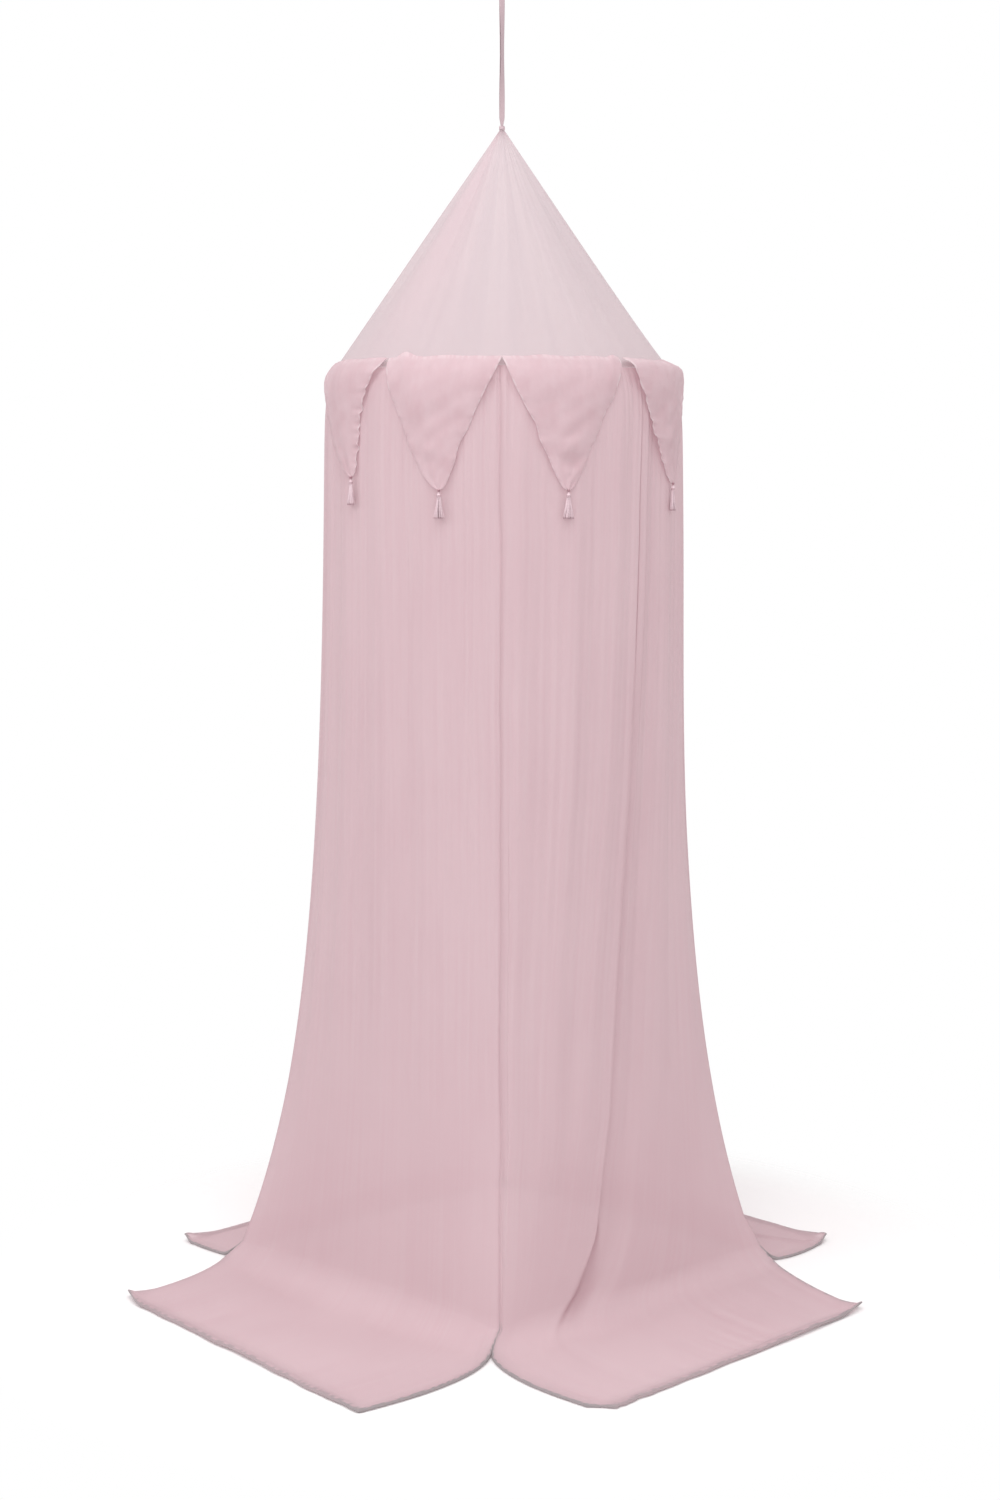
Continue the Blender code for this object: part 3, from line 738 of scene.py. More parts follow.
@dataclass
class BodyPanel:
    """One of the four long panels, from the seam to its hem on the floor."""

    name: str
    start: Corner
    finish: Corner
    edges: tuple[PetalEdge, PetalEdge]
    first: float  # how deep its soft folds are at its first edge
    last: float  # and at its last
    sway: float  # uneven spacing of the folds
    pleated: bool = False  # carries the main pleat
    seed: int = 1
    ripples: tuple[Hill, ...] = ()  # of its petal
    swells: tuple[Hill, ...] = ()  # of its standing cloth
    creases: tuple[Crease, ...] = ()
    flat: tuple[float, float] = (0.72, 1.95)
    area: float = 1.20  # cut narrower at the hoop than at the hem

    stand: float = 0.305
    middle_reach: float = 0.347
    flare_height: float = 0.42
    flare: float = 0.90
    ease: float = 0.026
    bulge_heights: tuple[float, float] = (0.75, 1.35)
    margin: float = 0.0004
    folds: int = 6
    fold_depth: float = 0.0032
    fold_start: float = 0.060
    drawn_depth: float = 0.0017  # fine folds that the seam draws in
    drawn_fade: float = 0.16  # below the seam they fade over this height
    hanging_depth: float = 0.0009  # fine folds of the hanging cloth
    fold_foot: tuple[float, float] = (0.10, 0.42)
    bend: tuple[float, float] = (0.030, 0.050)  # height where it turns: edge, middle
    bend_end: tuple[float, float] = (0.14, 0.30)
    petal_width: float = 0.70
    petal_length: float = 0.35
    curl_width: float = 0.080
    corner_width: float = 0.10
    hem_radius: float = 0.0006
    hem_lip: float = 0.0032  # radius of the springy turn where a hem stands on the floor
    hem_width: float = 0.012
    side_hem: float = 0.004
    hem_wave: float = 0.006  # unevenness of its line on the floor
    raised: tuple[float, float, float] = (0.0015, 0.0015, 0.0020)  # first, last, foot hem
    lap: float = 0.0  # how far its first edge lies over the next panel
    pleat_width: float = 0.055
    pleat_depth: float = 0.009
    pleat_lean: tuple[tuple[float, float], ...] = (
        (0.00, -0.300), (0.06, -0.215), (0.14, -0.152), (0.35, -0.092), (0.53, -0.063),
        (0.71, -0.034), (0.87, -0.003), (1.05, 0.017), (1.30, 0.032), (1.40, 0.040),
        (1.60, 0.055))
    pleat_foot: float = 0.05
    pleat_apart: float = 0.95  # from its first fold to its second
    floor_ridge: float = 0.007  # height of the ridge where it runs out on the floor
    stand_rows: int = 131
    turn_rows: int = 17
    petal_rows: int = 46

    def columns(self) -> np.ndarray:
        """Places across the panel, closer together at the pleat and the edges."""
        parts = [np.linspace(0, 1, 141), np.linspace(0, 0.035, 22), np.linspace(0.98, 1, 5)]
        if self.pleated:
            parts.append(np.linspace(0.485, 0.575, 136))
        return np.unique(np.round(np.concatenate(parts), 5))

    def flare_share(self, height: np.ndarray) -> np.ndarray:
        """Share of the flare at a height: all of it at the floor, none at the hoop."""
        rest = math.exp(-HOOP.height / self.flare_height)
        return np.exp(-height / self.flare_height) - rest * height / HOOP.height

    def across(self, along: np.ndarray, height: np.ndarray) -> np.ndarray:
        """Place along the panel's span of a point of its cloth, from 0 to 1."""
        place = along + self.sway * np.sin(math.tau * along)
        if self.pleated:
            heights, leans = zip(*self.pleat_lean)
            lean = np.interp(height, heights, leans)
            place = place + (4 * along * (1 - along)) ** 1.3 * lean
        return place

    def relief(self, along: np.ndarray, height: np.ndarray) -> np.ndarray:
        """Depth of all folds of the standing cloth, outwards."""
        below = np.maximum(HOOP.height - HOOP.drop - height, 0.0)
        deepen = 1 - np.exp(-below / self.fold_start)
        hang = np.sqrt(np.maximum(height, 0.0) / HOOP.height)
        depth = self.fold_depth * deepen * hang * smooth(*self.fold_foot, height)
        depth = depth * mix(self.first, self.last, along)
        total = depth * np.sin(math.tau * self.folds * along)
        drawn = self.drawn_depth * np.exp(-below / self.drawn_fade) * smooth(0, 0.02, below)
        total = total + drawn * waves(along, (0.021, 0.029, 0.041), self.seed)
        hanging = self.hanging_depth * smooth(0.15, 0.9, height)
        total = total + hanging * waves(along, (0.035, 0.052, 0.083), self.seed + 7)
        for swell in self.swells:
            total = total + swell.at(along, height)
        if self.pleated:
            total = total - self.pleat(along, height)
        if self.lap:
            over = smooth(0.0, 0.10, height) * (1 - smooth(0.0, 0.022, along))
            total = total + 0.0012 * over - self.lap_seam(0.0005, along, height)
        return total

    @staticmethod
    def lap_seam(amount: float, along: np.ndarray, height: np.ndarray) -> np.ndarray:
        """An amount, kept only along the stitches that hold the lap shut."""
        sewn = smooth(0.10, 0.30, height) * (1 - smooth(0.75, 0.95, height))
        return amount * sewn * bump(0.0255, 0.004, along)

    def pleat(self, along: np.ndarray, height: np.ndarray) -> np.ndarray:
        """Depth of the main pleat: one or two sharp folds, then a slow way back out."""
        beyond = (along - 0.5) / self.pleat_width
        apart = self.pleat_apart
        twofold = smooth(0.90, 1.20, height)
        soft = self.softness(height)
        first = smooth(-0.06, 0.05, beyond / soft)
        second = smooth(-0.06, 0.05, beyond - apart)
        step = mix(first, 0.35 * first + 0.30 * second, twofold)
        between = 0.14 * bump(apart / 2, apart / 2, beyond) * twofold
        ridge = 0.10 * bump(-0.22, 0.24, beyond)
        back = 1 - smooth(apart + 0.4, 3.0, beyond)
        return self.pleat_depth * (step * back - between - ridge) * smooth(
            0.0, self.pleat_foot, height)

    @staticmethod
    def softness(height: np.ndarray) -> np.ndarray:
        """How much wider the pleat's folds are where they run out on the floor."""
        return mix(9.0, 1.0, smooth(0.02, 0.19, height))

    def fold_shade_line(self, beyond: np.ndarray, height: np.ndarray) -> np.ndarray:
        """Painted shade beside a sharp fold, partly the doubled cloth there: full at its edge,
        gone a little beyond it.
        """
        soft = self.softness(height)
        line = smooth(-0.08, -0.02, beyond / soft) * (1 - smooth(0.06, 0.20, beyond / soft))
        return line / soft ** 0.45

    def doubled(self, along: np.ndarray, height: np.ndarray) -> np.ndarray:
        """How far the cloth lies doubled at its hems and lap, with painted shade in the main
        pleat's folds (partly their doubled layers) and a painted shadow at the pleat's foot.
        """
        width = self.hem_width / self.petal_width
        band = np.maximum(1 - smooth(0.8 * width, width, along),
                          smooth(1 - width, 1 - 0.8 * width, along))
        total = 0.02 * band
        if self.lap:
            total = total + self.lap_seam(0.12, along, height)
        if self.pleated:
            beyond = (along - 0.5) / self.pleat_width
            reach = smooth(0.004, 0.030, height)
            twofold = smooth(0.95, 1.20, height)
            # painted shade along the pleat's folds, partly their real doubled layers
            lines = 0.95 * self.fold_shade_line(beyond, height)
            lines = lines + 0.60 * twofold * self.fold_shade_line(beyond - self.pleat_apart, height)
            # painted shade on the recessed cloth right of the pleat
            beside = smooth(0.0, 0.1, beyond) * (1 - smooth(1.0, 4.0, beyond))
            total = total + reach * (lines + 0.08 * beside)
            # painted shadow at the pleat's foot, where it splays out on the floor
            total = total + 0.4 * bump(-0.25, 0.5, beyond) * bump(0.05, 0.06, height)
        return np.clip(total, 0.0, 1.0)

    def bearings(self, height: np.ndarray) -> list[np.ndarray]:
        """Bearings of the panel's two corners, which drift and wander down to the floor."""
        wander = 0.0014 * waves(height, (0.31, 0.47, 0.19), 3) * smooth(0.05, 0.3, height)
        found = []
        for corner in (self.start, self.finish):
            drift = corner.drift * self.flare_share(height)
            if corner is FRONT:
                drift = drift + np.degrees(wander / self.stand)
            found.append(corner.bearing + drift)
        if self.finish.bearing < self.start.bearing:
            found[1] = found[1] + 360
        return found

    def radii(self, height: np.ndarray) -> list[np.ndarray]:
        """Radius at the panel's two corners, before the flare."""
        below = HOOP.height - HOOP.drop - height
        found = []
        for corner in (self.start, self.finish):
            full = self.stand + corner.bulge * smooth(*self.bulge_heights, height)
            found.append(mix(full, HOOP.outside, np.exp(-below / self.ease)))
        return found

    def standing(self, along: np.ndarray, height: np.ndarray) -> Grid:
        """Points of the panel where it stands."""
        flare = self.flare_share(height)
        radii = self.radii(height)
        reach = [radius + (corner.reach - self.stand) * self.flare * flare
                 for radius, corner in zip(radii, (self.start, self.finish))]
        radius = (radii[0] + radii[1]) / 2
        middle = radius + (self.middle_reach - self.stand) * flare
        power = 1 / (0.5 - np.log2(middle / ((reach[0] + reach[1]) / 2)))
        quarter = math.pi / 2 * radius
        lap = self.lap * smooth(0.0, 0.10, height)
        lap = lap * (1 + 0.5 * waves(height, (0.17, 0.11, 0.29), 8))
        first = (self.margin - lap) / quarter
        share = mix(first, 1 - self.margin / quarter, self.across(along, height))
        straight = np.arctan2(share, 1 - share)
        turn = mix(straight, share * math.pi / 2, power - 1)
        cosine = np.abs(np.cos(turn)) / reach[0]
        sine = np.abs(np.sin(turn)) / reach[1]
        section = (cosine ** power + sine ** power) ** (-1 / power)
        first, last = self.bearings(height)
        bearing = first + (last - first) * turn / (math.pi / 2)
        return polar(bearing, section + self.relief(along, height), height)

    def lying(self, along: np.ndarray, share: np.ndarray) -> Grid:
        """Points of the panel's petal, from its foot (0) to its hem (1)."""
        sides = []
        for corner, edge in zip((self.start, self.finish), self.edges):
            foot, bend, hem = (np.array(p) for p in (corner.foot, edge.bend, edge.hem))
            s = share[..., None]
            sides.append(mix(mix(foot, bend, s), mix(bend, hem, s), s))
        margin = self.margin / self.petal_width
        place = mix(margin, 1 - margin, self.across(along, np.zeros_like(along)))
        flat = mix(sides[0], sides[1], place[..., None])
        rise = np.full_like(share, LYING)
        outer = (1 - share) * self.petal_length
        for edge, inward in zip(self.edges, (place, 1 - place)):
            away = np.hypot(inward * self.petal_width, outer)
            rise = rise + edge.lift * np.maximum(1 - away / self.curl_width, 0.0) ** 1.6
        inner = (place * self.petal_width, (1 - place) * self.petal_width, outer)
        hems = [up * (1 - smooth(0.0, 0.036, away)) for up, away in zip(self.raised, inner)]
        rise = rise + np.maximum.reduce(hems)
        if self.pleated:
            line = mix(0.255, 0.10, np.minimum(share / 0.45, 1.0))
            ridge = self.floor_ridge * bump(line + 0.07, 0.09, place)
            rise = rise + ridge * (1 - smooth(0.15, 0.5, share))
        for ripple in self.ripples:
            rise = rise + ripple.at(place, share)
        size = np.array([self.petal_width, self.petal_length])
        here = np.stack([place, share], axis=-1) * size
        for crease in self.creases:
            start, finish = np.array(crease.start) * size, np.array(crease.finish) * size
            run = finish - start
            part = np.clip(((here - start) @ run) / (run @ run), 0, 1)
            away = np.linalg.norm(here - start - part[..., None] * run, axis=-1)
            rise = rise + crease.height * bump(0.0, crease.width, away)
        rise = np.maximum(rise, LYING)
        return np.concatenate([flat, (rise + FLOOR)[..., None]], axis=-1)

    def surface(self) -> tuple[Grid, Grid, np.ndarray]:
        """Points of the whole panel, their places on the flat cloth and its doubling."""
        along = self.columns()[None]
        crown = np.sin(math.pi * along)
        bend = mix(*self.bend, crown)
        seam = HOOP.height - HOOP.drop - GAP
        turned = mix(*self.bend_end, crown)
        down = np.linspace(0, 1, self.stand_rows)[:, None]
        down = mix(down, down ** 1.7, 0.6)
        height = mix(seam, bend, down)
        along_2d = np.broadcast_to(along, height.shape)
        stand = self.standing(along_2d, height)
        foot = self.standing(along, bend)
        zero = np.zeros_like(along)
        control, last = self.lying(along, zero), self.lying(along, turned)
        s = np.linspace(0, 1, self.turn_rows)[1:, None, None]
        turn = mix(mix(foot, control, s), mix(control, last, s), s)
        out = np.linspace(0, 1, self.petal_rows)[1:, None]
        rounding = np.ones_like(along)
        for edge, inward in zip(self.edges, (along, 1 - along)):
            near = np.maximum(1 - inward / self.corner_width, 0.0)
            rounding = rounding - edge.rounded * near ** 2
        share = mix(turned, 1.0, out) * rounding
        share = share * (1 + self.hem_wave * out ** 3 * waves(along, (0.11, 0.19, 0.31),
                                                              self.seed + 3))
        lie = self.lying(np.broadcast_to(along, share.shape), share)
        points = np.concatenate([stand, turn, lie], axis=0)
        run = run_along(points[:, points.shape[1] // 2])
        places = stacked(along * self.petal_width, run[:, None])
        return points, places, self.doubled(along, points[..., 2] - FLOOR)

    def build(self) -> bpy.types.Object:
        """Build the panel. Its hem is flat where it stands, a springy lip on the floor,
        painted with a grey shadow there.
        """
        points, places, doubled = self.surface()
        height = edge_lines(points, Side.ROUND)[0][:, 2] - FLOOR
        lying = 1 - smooth(0.02, 0.05, height)
        lip = np.clip(height / 2 - GAP, self.hem_radius, self.hem_lip)
        lip = lip * (1 - 0.5 * smooth(0.0075, 0.0130, height))
        along = self.columns()[1:-1]
        from_corner = self.petal_width * np.minimum(along, 1 - along)
        # painted shadow: the grey edge colour along the hem where it lies on the floor, full
        # at the side edges, lighter along the foot
        foot, painted_rim_shadow = np.zeros(len(height)), lying.copy()
        foot[len(points):-len(points)] = smooth(0.0, 0.05, from_corner)
        painted_rim_shadow[len(points):-len(points)] *= 1 - 0.35 * smooth(0.0, 0.12, from_corner)
        hem = (Hem.TURNED, mix(self.hem_radius, lip, lying),
               mix(self.side_hem, self.hem_width, foot), 0.06, painted_rim_shadow)
        return hemmed(self.name + "_voile", points, places, doubled, {Side.ROUND: hem})

    def dress(self, voile: bpy.types.Material) -> None:
        """Build the panel and put it in the frame."""
        piece = self.build()
        piece.data.materials.append(voile)
        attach(piece, "root")
        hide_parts(self.name)
        LOG.info("%s: %d faces", self.name, len(piece.data.polygons))


PANELS = (
    BodyPanel("panel_front_right", FRONT, RIGHT,
              (PetalEdge((-0.012, -0.597), (0.156, -0.725), 0.0, 0.080),
               PetalEdge((0.533, -0.172), (0.620, -0.278), 0.010)),
              0.7, 1.1, 0.030, pleated=True, seed=11, lap=0.0022,
              raised=(0.0055, 0.0015, 0.0065),
              ripples=(Hill(0.30, 0.50, 0.20, 0.35, 0.004),
                       Hill(0.75, 0.80, 0.20, 0.40, 0.005)),
              swells=(Hill(1.0, 0.035, 0.07, 0.045, 0.010),
                      Hill(0.22, 0.95, 0.05, 0.25, 0.002),
                      Hill(0.30, 0.45, 0.06, 0.20, -0.002))),
    BodyPanel("panel_back_right", RIGHT, BACK,
              (PetalEdge((0.548, -0.002), (0.607, 0.098), 0.013),
               PetalEdge((0.030, 0.510), (0.128, 0.585), 0.0)),
              1.0, 0.8, -0.035, seed=23, raised=(0.0045, 0.0015, 0.0020),
              swells=(Hill(0.0, 0.035, 0.07, 0.045, 0.010),),
              creases=(Crease((0.02, 0.80), (0.20, 0.58), 0.010, 0.0052),),
              ripples=(Hill(0.45, 0.7, 0.25, 0.4, 0.005),)),
    BodyPanel("panel_back_left", BACK, LEFT,
              (PetalEdge((-0.020, 0.505), (-0.090, 0.570), 0.0),
               PetalEdge((-0.539, 0.033), (-0.592, 0.094), 0.013)),
              0.9, 1.1, 0.040, seed=37, raised=(0.0015, 0.0045, 0.0020),
              ripples=(Hill(0.60, 0.6, 0.25, 0.4, 0.005),)),
    BodyPanel("panel_front_left", LEFT, FRONT,
              (PetalEdge((-0.526, -0.114), (-0.656, -0.218), 0.010),
               PetalEdge((-0.026, -0.600), (-0.220, -0.728), 0.0, 0.012)),
              1.1, 0.6, -0.030, seed=41, raised=(0.0015, 0.0055, 0.0065),
              swells=(Hill(0.80, 0.80, 0.05, 0.10, 0.002),
                      Hill(0.62, 1.05, 0.06, 0.30, -0.002),
                      Hill(0.35, 0.55, 0.06, 0.25, 0.002)),
              ripples=(Hill(0.55, 0.75, 0.25, 0.4, 0.005),
                       Hill(0.25, 0.50, 0.15, 0.3, 0.003))),
)


# ---- pennants ----
@dataclass(frozen=True)
class Ear:
    """Place where a pennant's top edge stands up above the seam."""

    across: float
    width: float
    lift: float


@dataclass
class Pennant:
    """A blunt triangle of doubled voile with rolled edges, sewn in the hoop seam."""

    number: int
    start: float  # bearings of its ends and of its tip
    finish: float
    tip: float
    drop: float
    rise: float  # outside the seam, over the gathers
    sides: tuple[float, float]  # shape of its two sides: hollow above 1, full below
    puffs: tuple[Hill, ...] = ()
    ears: tuple[Ear, ...] = ()
    rise_share: float = 0.06
    tip_out: float = 0.0036
    puff: float = 0.0035
    settle: float = 0.0030  # how far its two edges lie back to the body
    blunt: float = 0.13
    tip_share: float = 0.030
    margin: float = 0.15
    steps: int = 7
    hem_radius: float = 0.0009
    head_radius: float = 0.0012
    heading: float = 0.009  # how far its top stands up above the hoop's middle
    flutter: float = 0.0016  # unevenness of its two edges
    columns: int = 61
    rows: int = 71

    @property
    def touch(self) -> float:
        """Radius of its top corners, just outside the seam band."""
        half = (self.finish - self.start) / 2 - self.margin
        return (HOOP.outside + 0.0018) / math.cos(math.radians(half / self.steps))

    @property
    def tip_radius(self) -> float:
        """Radius of its tip."""
        return self.touch + self.rise + self.tip_out

    def width(self, side: float, down: np.ndarray) -> np.ndarray:
        """Share of a side's width that is left at a share of the drop."""
        straight = (1 - self.blunt) * (1 - down) ** side
        return mix(straight + self.blunt * np.sqrt(1 - down ** 8), 1.0, self.tip_share)

    def surface(self) -> tuple[Grid, Grid, np.ndarray]:
        """Points of the pennant, their places on the flat cloth and its doubling."""
        across = np.linspace(0, 1, self.columns)[None]
        down = 1 - (1 - np.linspace(0, 1, self.rows)[:, None]) ** 1.7
        before = self.tip - self.start - self.margin
        after = self.finish - self.tip - self.margin
        first = self.tip - before * self.width(self.sides[0], down)
        last = self.tip + after * self.width(self.sides[1], down)
        held = np.sin(math.pi * down)
        first = first + 0.55 * held * waves(down, (0.35, 0.22, 0.57), self.number)
        last = last + 0.55 * held * waves(down, (0.31, 0.25, 0.61), self.number + 10)
        bearing = mix(first, last, across)
        crown = np.sin(math.pi * across)
        out = self.rise * (1 - np.exp(-down / self.rise_share)) + self.tip_out * down ** 6
        out = out + self.puff * crown * held
        drawn = np.exp(-down / 0.12) * smooth(0.0, 0.04, down)
        out = out + 0.0012 * drawn * waves(across, (0.09, 0.13, 0.21), self.number + 30)
        out = out + 0.0013 * crown * waves(down + 0.4 * across, (0.31, 0.23, 0.17),
                                           self.number + 50)
        out = out + 0.0010 * crown * waves(across - 0.3 * down, (0.37, 0.53, 0.71),
                                           self.number + 60)
        for puff in self.puffs:
            out = out + puff.at(across, down)
        edge = np.abs(2 * across - 1) ** 6
        out = out - self.settle * edge * held ** 0.5
        out = out + self.flutter * edge * held ** 0.5 * waves(down, (0.12, 0.07, 0.19),
                                                              self.number + 90)
        lift = self.heading + 0.0013 * waves(across, (0.9, 0.47, 0.31), self.number + 70)
        lift = lift + 0.0003 * waves(across, (0.11, 0.17), self.number + 80)
        for ear in self.ears:
            lift = lift + ear.lift * bump(ear.across, ear.width, across)
        height = HOOP.height - self.drop * down + lift * np.exp(-down / 0.10)
        points = polar(bearing, self.touch + out, height)
        flat_width = math.radians(self.finish - self.start) * self.touch
        wide = (last - first) / (self.finish - self.start)
        places = stacked(flat_width * (0.5 + (across - 0.5) * wide), self.drop * down)
        return points, places, 0.10 * np.broadcast_to(edge ** 3, height.shape)

    def build(self) -> bpy.types.Object:
        """Build the pennant with its rolled edges, painted with a pale highlight."""
        points, places, doubled = self.surface()
        run = np.linspace(0, 1, len(points))
        radius = self.hem_radius * (1 + 0.4 * waves(run, (0.045, 0.031, 0.073), self.number))
        # painted highlight: the pale edge colour along the rolled side edges, and fainter
        # along the top
        hems = {side: (Hem.ROLLED, radius, 0.0, 0.0, 0.95)
                for side in (Side.FIRST, Side.LAST)}
        hems[Side.HEAD] = (Hem.ROLLED, self.head_radius, 0.0, 0.0, 0.5)
        return hemmed("pennant_%d_voile" % self.number, points, places, doubled, hems)

    def dress(self, voile: bpy.types.Material) -> None:
        """Build the pennant and put it in the frame."""
        piece = self.build()
        piece.data.materials.append(voile)
        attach(piece, "root")
        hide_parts("pennant_%d" % self.number)
        LOG.info("pennant %d: %d faces", self.number, len(piece.data.polygons))


PENNANTS = (
    Pennant(1, -90.0, -48.0, -70.0, 0.207, 0.023, (1.25, 1.20),
            (Hill(0.55, 0.79, 0.45, 0.09, -0.0045), Hill(0.50, 0.66, 0.45, 0.10, 0.0035),
             Hill(0.75, 0.25, 0.3, 0.2, 0.0025), Hill(0.35, 0.35, 0.3, 0.14, -0.002)),
            (Ear(0.93, 0.08, 0.004), Ear(0.30, 0.15, 0.0015))),
    Pennant(2, -46.5, -1.0, -25.5, 0.196, 0.027, (1.20, 1.00),
            (Hill(0.3, 0.2, 0.25, 0.12, 0.004), Hill(0.7, 0.3, 0.2, 0.3, -0.004),
             Hill(0.15, 0.42, 0.2, 0.12, -0.003), Hill(0.25, 0.62, 0.3, 0.12, 0.004)),
            (Ear(0.60, 0.20, 0.002),), rise_share=0.025, flutter=0.0030),
    Pennant(3, -1.0, 44.5, 22.5, 0.202, 0.027, (1.00, 1.20),
            (Hill(0.4, 0.3, 0.3, 0.3, 0.003),), rise_share=0.025, flutter=0.0030),
    Pennant(4, 44.5, 89.5, 66.5, 0.206, 0.023, (1.20, 0.95),
            (Hill(0.6, 0.4, 0.3, 0.3, 0.002),), (Ear(0.20, 0.12, 0.004),)),
    Pennant(5, 89.5, 134.5, 112.5, 0.199, 0.023, (1.00, 1.30),
            (Hill(0.4, 0.2, 0.3, 0.2, 0.002),)),
    Pennant(6, 134.5, 180.0, 157.0, 0.204, 0.020, (1.30, 1.05),
            (Hill(0.6, 0.3, 0.3, 0.3, 0.003),), (Ear(0.85, 0.10, 0.003),), flutter=0.0045),
    Pennant(7, 180.0, 229.0, 216.3, 0.186, 0.020, (1.00, 3.50),
            (Hill(0.25, 0.2, 0.2, 0.2, 0.004), Hill(0.6, 0.4, 0.3, 0.3, -0.002)),
            flutter=0.0045),
    Pennant(8, 230.0, 270.0, 251.0, 0.207, 0.023, (0.85, 1.45),
            (Hill(0.3, 0.3, 0.3, 0.22, 0.0025), Hill(0.65, 0.45, 0.3, 0.15, -0.0025),
             Hill(0.45, 0.70, 0.4, 0.10, 0.0025)),
            (Ear(0.17, 0.11, 0.007), Ear(0.55, 0.2, 0.001))),
)


# ---- tassels ----
@dataclass
class Tassel:
    """Knot, wrapped head and skirt of cut yarn that hangs at a pennant's tip."""

    pennant: Pennant
    out: float = 0.0008  # outside the pennant's tip
    strands: int = 56
    skirt_top: float = 0.0120
    skirt_end: float = 0.0480
    spread: tuple[float, float] = (0.0042, 0.0100)  # skirt's half depth and half width
    wraps: int = 5

    def strand(self, random: np.random.Generator) -> bpy.types.Object:
        """Hang one strand of the skirt."""
        angle = random.uniform(0, math.tau)
        share = math.sqrt(random.uniform(0.05, 1.0))
        s = np.array([0.0, 0.15, 0.3, 0.5, 0.7, 0.9, 0.95, 1.0])
        flare = mix(0.30, 1.0, s ** 1.3) * share
        x = self.spread[0] * flare * math.cos(angle)
        y = self.spread[1] * flare * math.sin(angle)
        wave = 0.0004 * np.sin(math.tau * (s * random.uniform(0.6, 1.3) + random.uniform()))
        end = self.skirt_end - abs(random.normal(0, 0.0008))
        z = -mix(self.skirt_top, end, s)
        path = np.stack([x + wave * s, y + wave * s, z], axis=1)
        # painted shade at the strand's cut end
        return tube("strand", path, mix(0.00042, 0.00052, s), 4, 0.5 * smooth(0.88, 0.98, s))

    @staticmethod
    def coil(turn: Value, radius: Value, z: Value) -> np.ndarray:
        """Path of a yarn that winds round the tassel's axis."""
        return stacked(radius * np.cos(math.tau * turn), radius * np.sin(math.tau * turn), z)

    def head(self) -> list[bpy.types.Object]:
        """Make the knot and the wound head."""
        turn = np.linspace(0, 1, 60)
        knot = self.coil(2 * turn, 0.0015 + 0.0004 * np.sin(math.tau * 3 * turn),
                         -0.0024 + 0.0013 * np.sin(math.tau * 3 * turn))
        # painted shade on the knot, the stem and the wound head
        parts = [tube("knot", knot, np.full(60, 0.00085), 6, 0.8)]
        stem = self.coil(0.0, 0.0, -np.linspace(0.0, 0.0080, 8))
        parts.append(tube("stem", stem, np.linspace(0.0010, 0.0016, 8), 8, 0.25))
        core = self.coil(0.0, 0.0, -np.linspace(0.0068, 0.0150, 14))
        swell = 0.0018 + 0.0014 * np.sin(math.pi * np.linspace(0.1, 0.9, 14))
        parts.append(tube("core", core, swell, 12))
        wind = np.linspace(0, self.wraps, 24 * self.wraps)
        wound = self.coil(wind, 0.0030, -mix(0.0092, 0.0132, wind / self.wraps))
        parts.append(tube("wrap", wound, np.full(len(wound), 0.00045), 5, 0.35))
        return parts

    def dress(self, yarn: bpy.types.Material) -> None:
        """Build the tassel and put it in the frame."""
        pennant = self.pennant
        random = np.random.default_rng(100 + pennant.number)
        parts = self.head() + [self.strand(random) for _ in range(self.strands)]
        piece = joined("tassel_%d_yarn" % pennant.number, parts)
        piece.data.materials.append(yarn)
        top = HOOP.height - pennant.drop - GAP
        piece.location = polar(pennant.tip, pennant.tip_radius + self.out, top)
        piece.rotation_euler = (0.0, 0.0, math.radians(pennant.tip))
        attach(piece, "root")
        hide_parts("tassel_%d" % pennant.number)
        LOG.info("tassel %d: %d faces", pennant.number, len(piece.data.polygons))


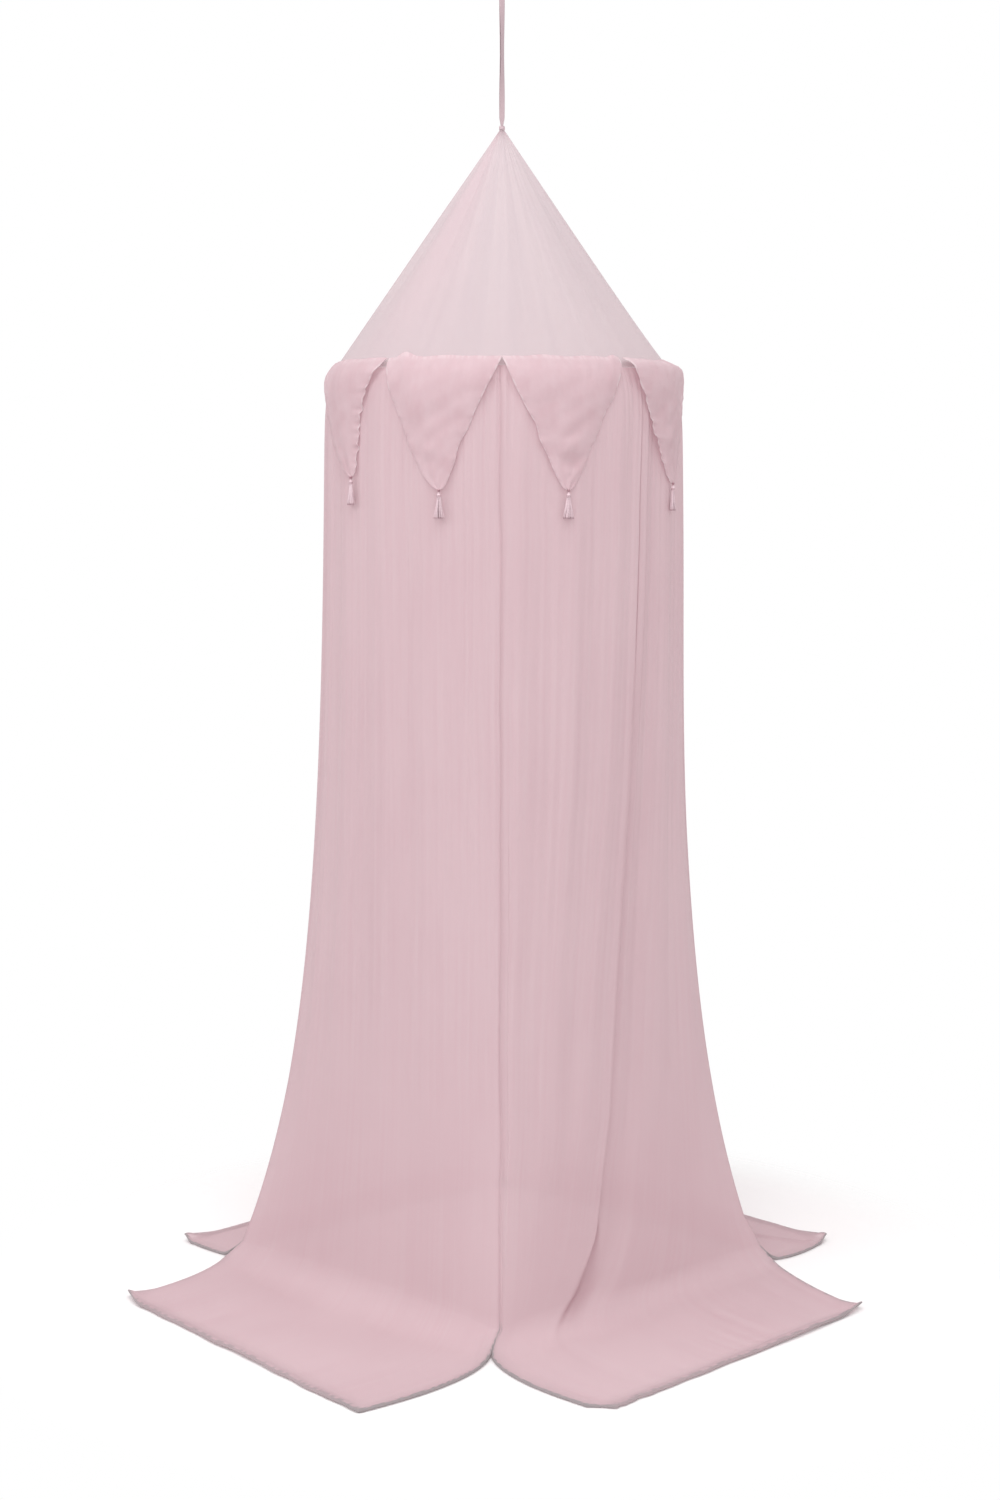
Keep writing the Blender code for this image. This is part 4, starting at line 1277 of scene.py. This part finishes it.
# ---- hanging ribbon ----
@dataclass
class HangingRibbon:
    """The doubled ribbon, twisted on itself, with the loop for the ceiling hook."""

    width: float = 0.0090
    thickness: float = 0.0006
    leg_offset: float = 0.0012
    loop_radius: float = 0.0072
    loop_shut: float = 0.040
    solid_thickness: float = 0.0012
    foot: float = 2.004
    flat: tuple[float, float] = (0.0100, 0.535)
    pinch: float = 0.45  # share of its width that is left where the neck grips it
    twist: tuple[tuple[float, float], ...] = (
        (2.004, 0.0), (2.035, 6.0), (2.065, 24.0), (2.100, 47.0), (2.130, 58.0),
        (2.160, 55.0), (2.200, 36.0), (2.235, 12.0), (2.265, 0.0))

    def route(self) -> np.ndarray:
        """List (offset, height): up one leg, over the loop and down the other."""
        top = -FLOOR
        centre = top + self.solid_thickness / 2 - self.loop_radius
        height = np.linspace(self.foot, centre, 96)
        share = smooth(top - self.loop_shut, centre, height)
        leg = np.stack([mix(self.leg_offset, self.loop_radius, share), height], axis=1)
        angle = np.linspace(0, math.pi, 26)[1:-1]
        loop = np.stack([self.loop_radius * np.cos(angle),
                         centre + self.loop_radius * np.sin(angle)], axis=1)
        back = leg[::-1] * np.array([-1.0, 1.0])
        return np.concatenate([leg, loop, back], axis=0)

    def dress(self, tape: bpy.types.Material) -> None:
        """Build the ribbon and put it in the frame."""
        route = self.route()
        across = np.linspace(-0.5, 0.5, 9)[None]
        heights, degrees = zip(*self.twist)
        twist = np.radians(np.interp(route[:, 1], heights, degrees))[:, None]
        offset = route[:, :1] + 0.00012 * np.cos(math.pi * across)
        side = across * self.width * mix(self.pinch, 1.0, smooth(2.011, 2.030, route[:, 1:]))
        x = side * np.cos(twist) - offset * np.sin(twist)
        y = side * np.sin(twist) + offset * np.cos(twist)
        places = stacked(side, run_along(route)[:, None])
        piece = cloth_mesh("ribbon_tape", stacked(x, y, route[:, 1:] + FLOOR), places)
        solid = piece.modifiers.new("thickness", "SOLIDIFY")
        solid.thickness = self.thickness
        solid.offset = 0.0
        piece.data.materials.append(tape)
        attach(piece, "root")
        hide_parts("hanging_ribbon")
        LOG.info("ribbon: %d faces", len(piece.data.polygons))


# ---- studio ----
@dataclass(frozen=True)
class SoftLight:
    """A square soft box: where it stands, how large, how strong and its colour."""

    name: str
    place: tuple[float, float, float]
    size: float
    watts: float
    colour: str = "#ffffff"


@dataclass
class Studio:
    """Pale floor, even white surroundings, soft lights and the camera."""

    aim: tuple[float, float, float] = (0.0, 0.0, -1.1)
    floor_radius: float = 4.0
    floor_middle: tuple[float, float, float] = (0.0, -0.10, FLOOR)
    ambient: float = 0.82
    camera_place: tuple[float, float, float] = (-0.0034, -4.2, -0.849)
    camera_pitch: float = 6.596  # degrees down
    lens_mm: float = 57.08
    lights: tuple[SoftLight, ...] = (
        SoftLight("overhead_soft_box", (-0.2, -1.5, 2.1), 3.0, 60.0),
        SoftLight("front_soft_box", (-0.4, -5.0, 0.6), 3.0, 41.0),
        SoftLight("left_soft_box", (-3.6, -2.4, 0.7), 1.8, 28.0),
        SoftLight("right_soft_box", (3.6, -2.4, 0.7), 1.8, 9.0),
    )

    def build(self) -> None:
        """Build the whole studio."""
        self.floor()
        self.surroundings()
        for light in self.lights:
            self.lamp(light)
        self.camera()
        bpy.context.scene.view_settings.view_transform = "Standard"

    def floor(self) -> None:
        """Lay the floor."""
        bpy.ops.mesh.primitive_circle_add(vertices=96, radius=self.floor_radius,
                                          fill_type="NGON", location=self.floor_middle)
        floor = bpy.context.object
        floor.name = "studio_floor"
        floor.data.materials.append(StudioFloor().build())

    def surroundings(self) -> None:
        """Light the scene evenly, and show white behind it."""
        world = bpy.data.worlds.new("studio_white")
        bpy.context.scene.world = world
        world.use_nodes = True
        tree = world.node_tree
        tree.nodes.clear()
        path = add_node(tree, "LightPath", {})
        strength = add_node(tree, "Mix", {
            0: path.outputs["Is Camera Ray"], 2: self.ambient, 3: 1.0}, data_type="FLOAT")
        white = add_node(tree, "Background", {
            "Color": linear("#ffffff"), "Strength": strength.outputs[0]})
        add_node(tree, "OutputWorld", {"Surface": white.outputs[0]})

    def lamp(self, light: SoftLight) -> None:
        """Set up one soft box, aimed at the canopy."""
        data = bpy.data.lights.new(light.name, "AREA")
        data.size = light.size
        data.energy = light.watts
        data.color = linear(light.colour)[:3]
        lamp = bpy.data.objects.new(light.name, data)
        lamp.location = light.place
        away = lamp.location - type(lamp.location)(self.aim)
        lamp.rotation_euler = away.to_track_quat("Z", "Y").to_euler()
        bpy.context.scene.collection.objects.link(lamp)

    def camera(self) -> None:
        """Place the camera where the photograph was taken from."""
        data = bpy.data.cameras.new("photo_camera")
        data.lens = self.lens_mm
        camera = bpy.data.objects.new("photo_camera", data)
        camera.location = self.camera_place
        camera.rotation_euler = (math.radians(90 - self.camera_pitch), 0.0, 0.0)
        bpy.context.scene.collection.objects.link(camera)
        bpy.context.scene.camera = camera


def main() -> None:
    """Build the canopy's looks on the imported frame."""
    logging.basicConfig(level=logging.INFO, format="%(name)s %(message)s")
    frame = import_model()
    Studio().build()
    yarn = TASSEL_YARN.build()
    hoop = frame["nodes"]["hoop"]
    hoop.data.materials.clear()
    hoop.data.materials.append(DrawnPlasticRod().build())
    Cone().dress(CONE_VOILE.build(), yarn)
    voile = BODY_VOILE.build()
    for panel in PANELS:
        panel.dress(voile)
    trim = PENNANT_VOILE.build()
    for pennant in PENNANTS:
        pennant.dress(trim)
        Tassel(pennant).dress(yarn)
    HangingRibbon().dress(WOVEN_TAPE.build())


if __name__ == "__main__":
    main()
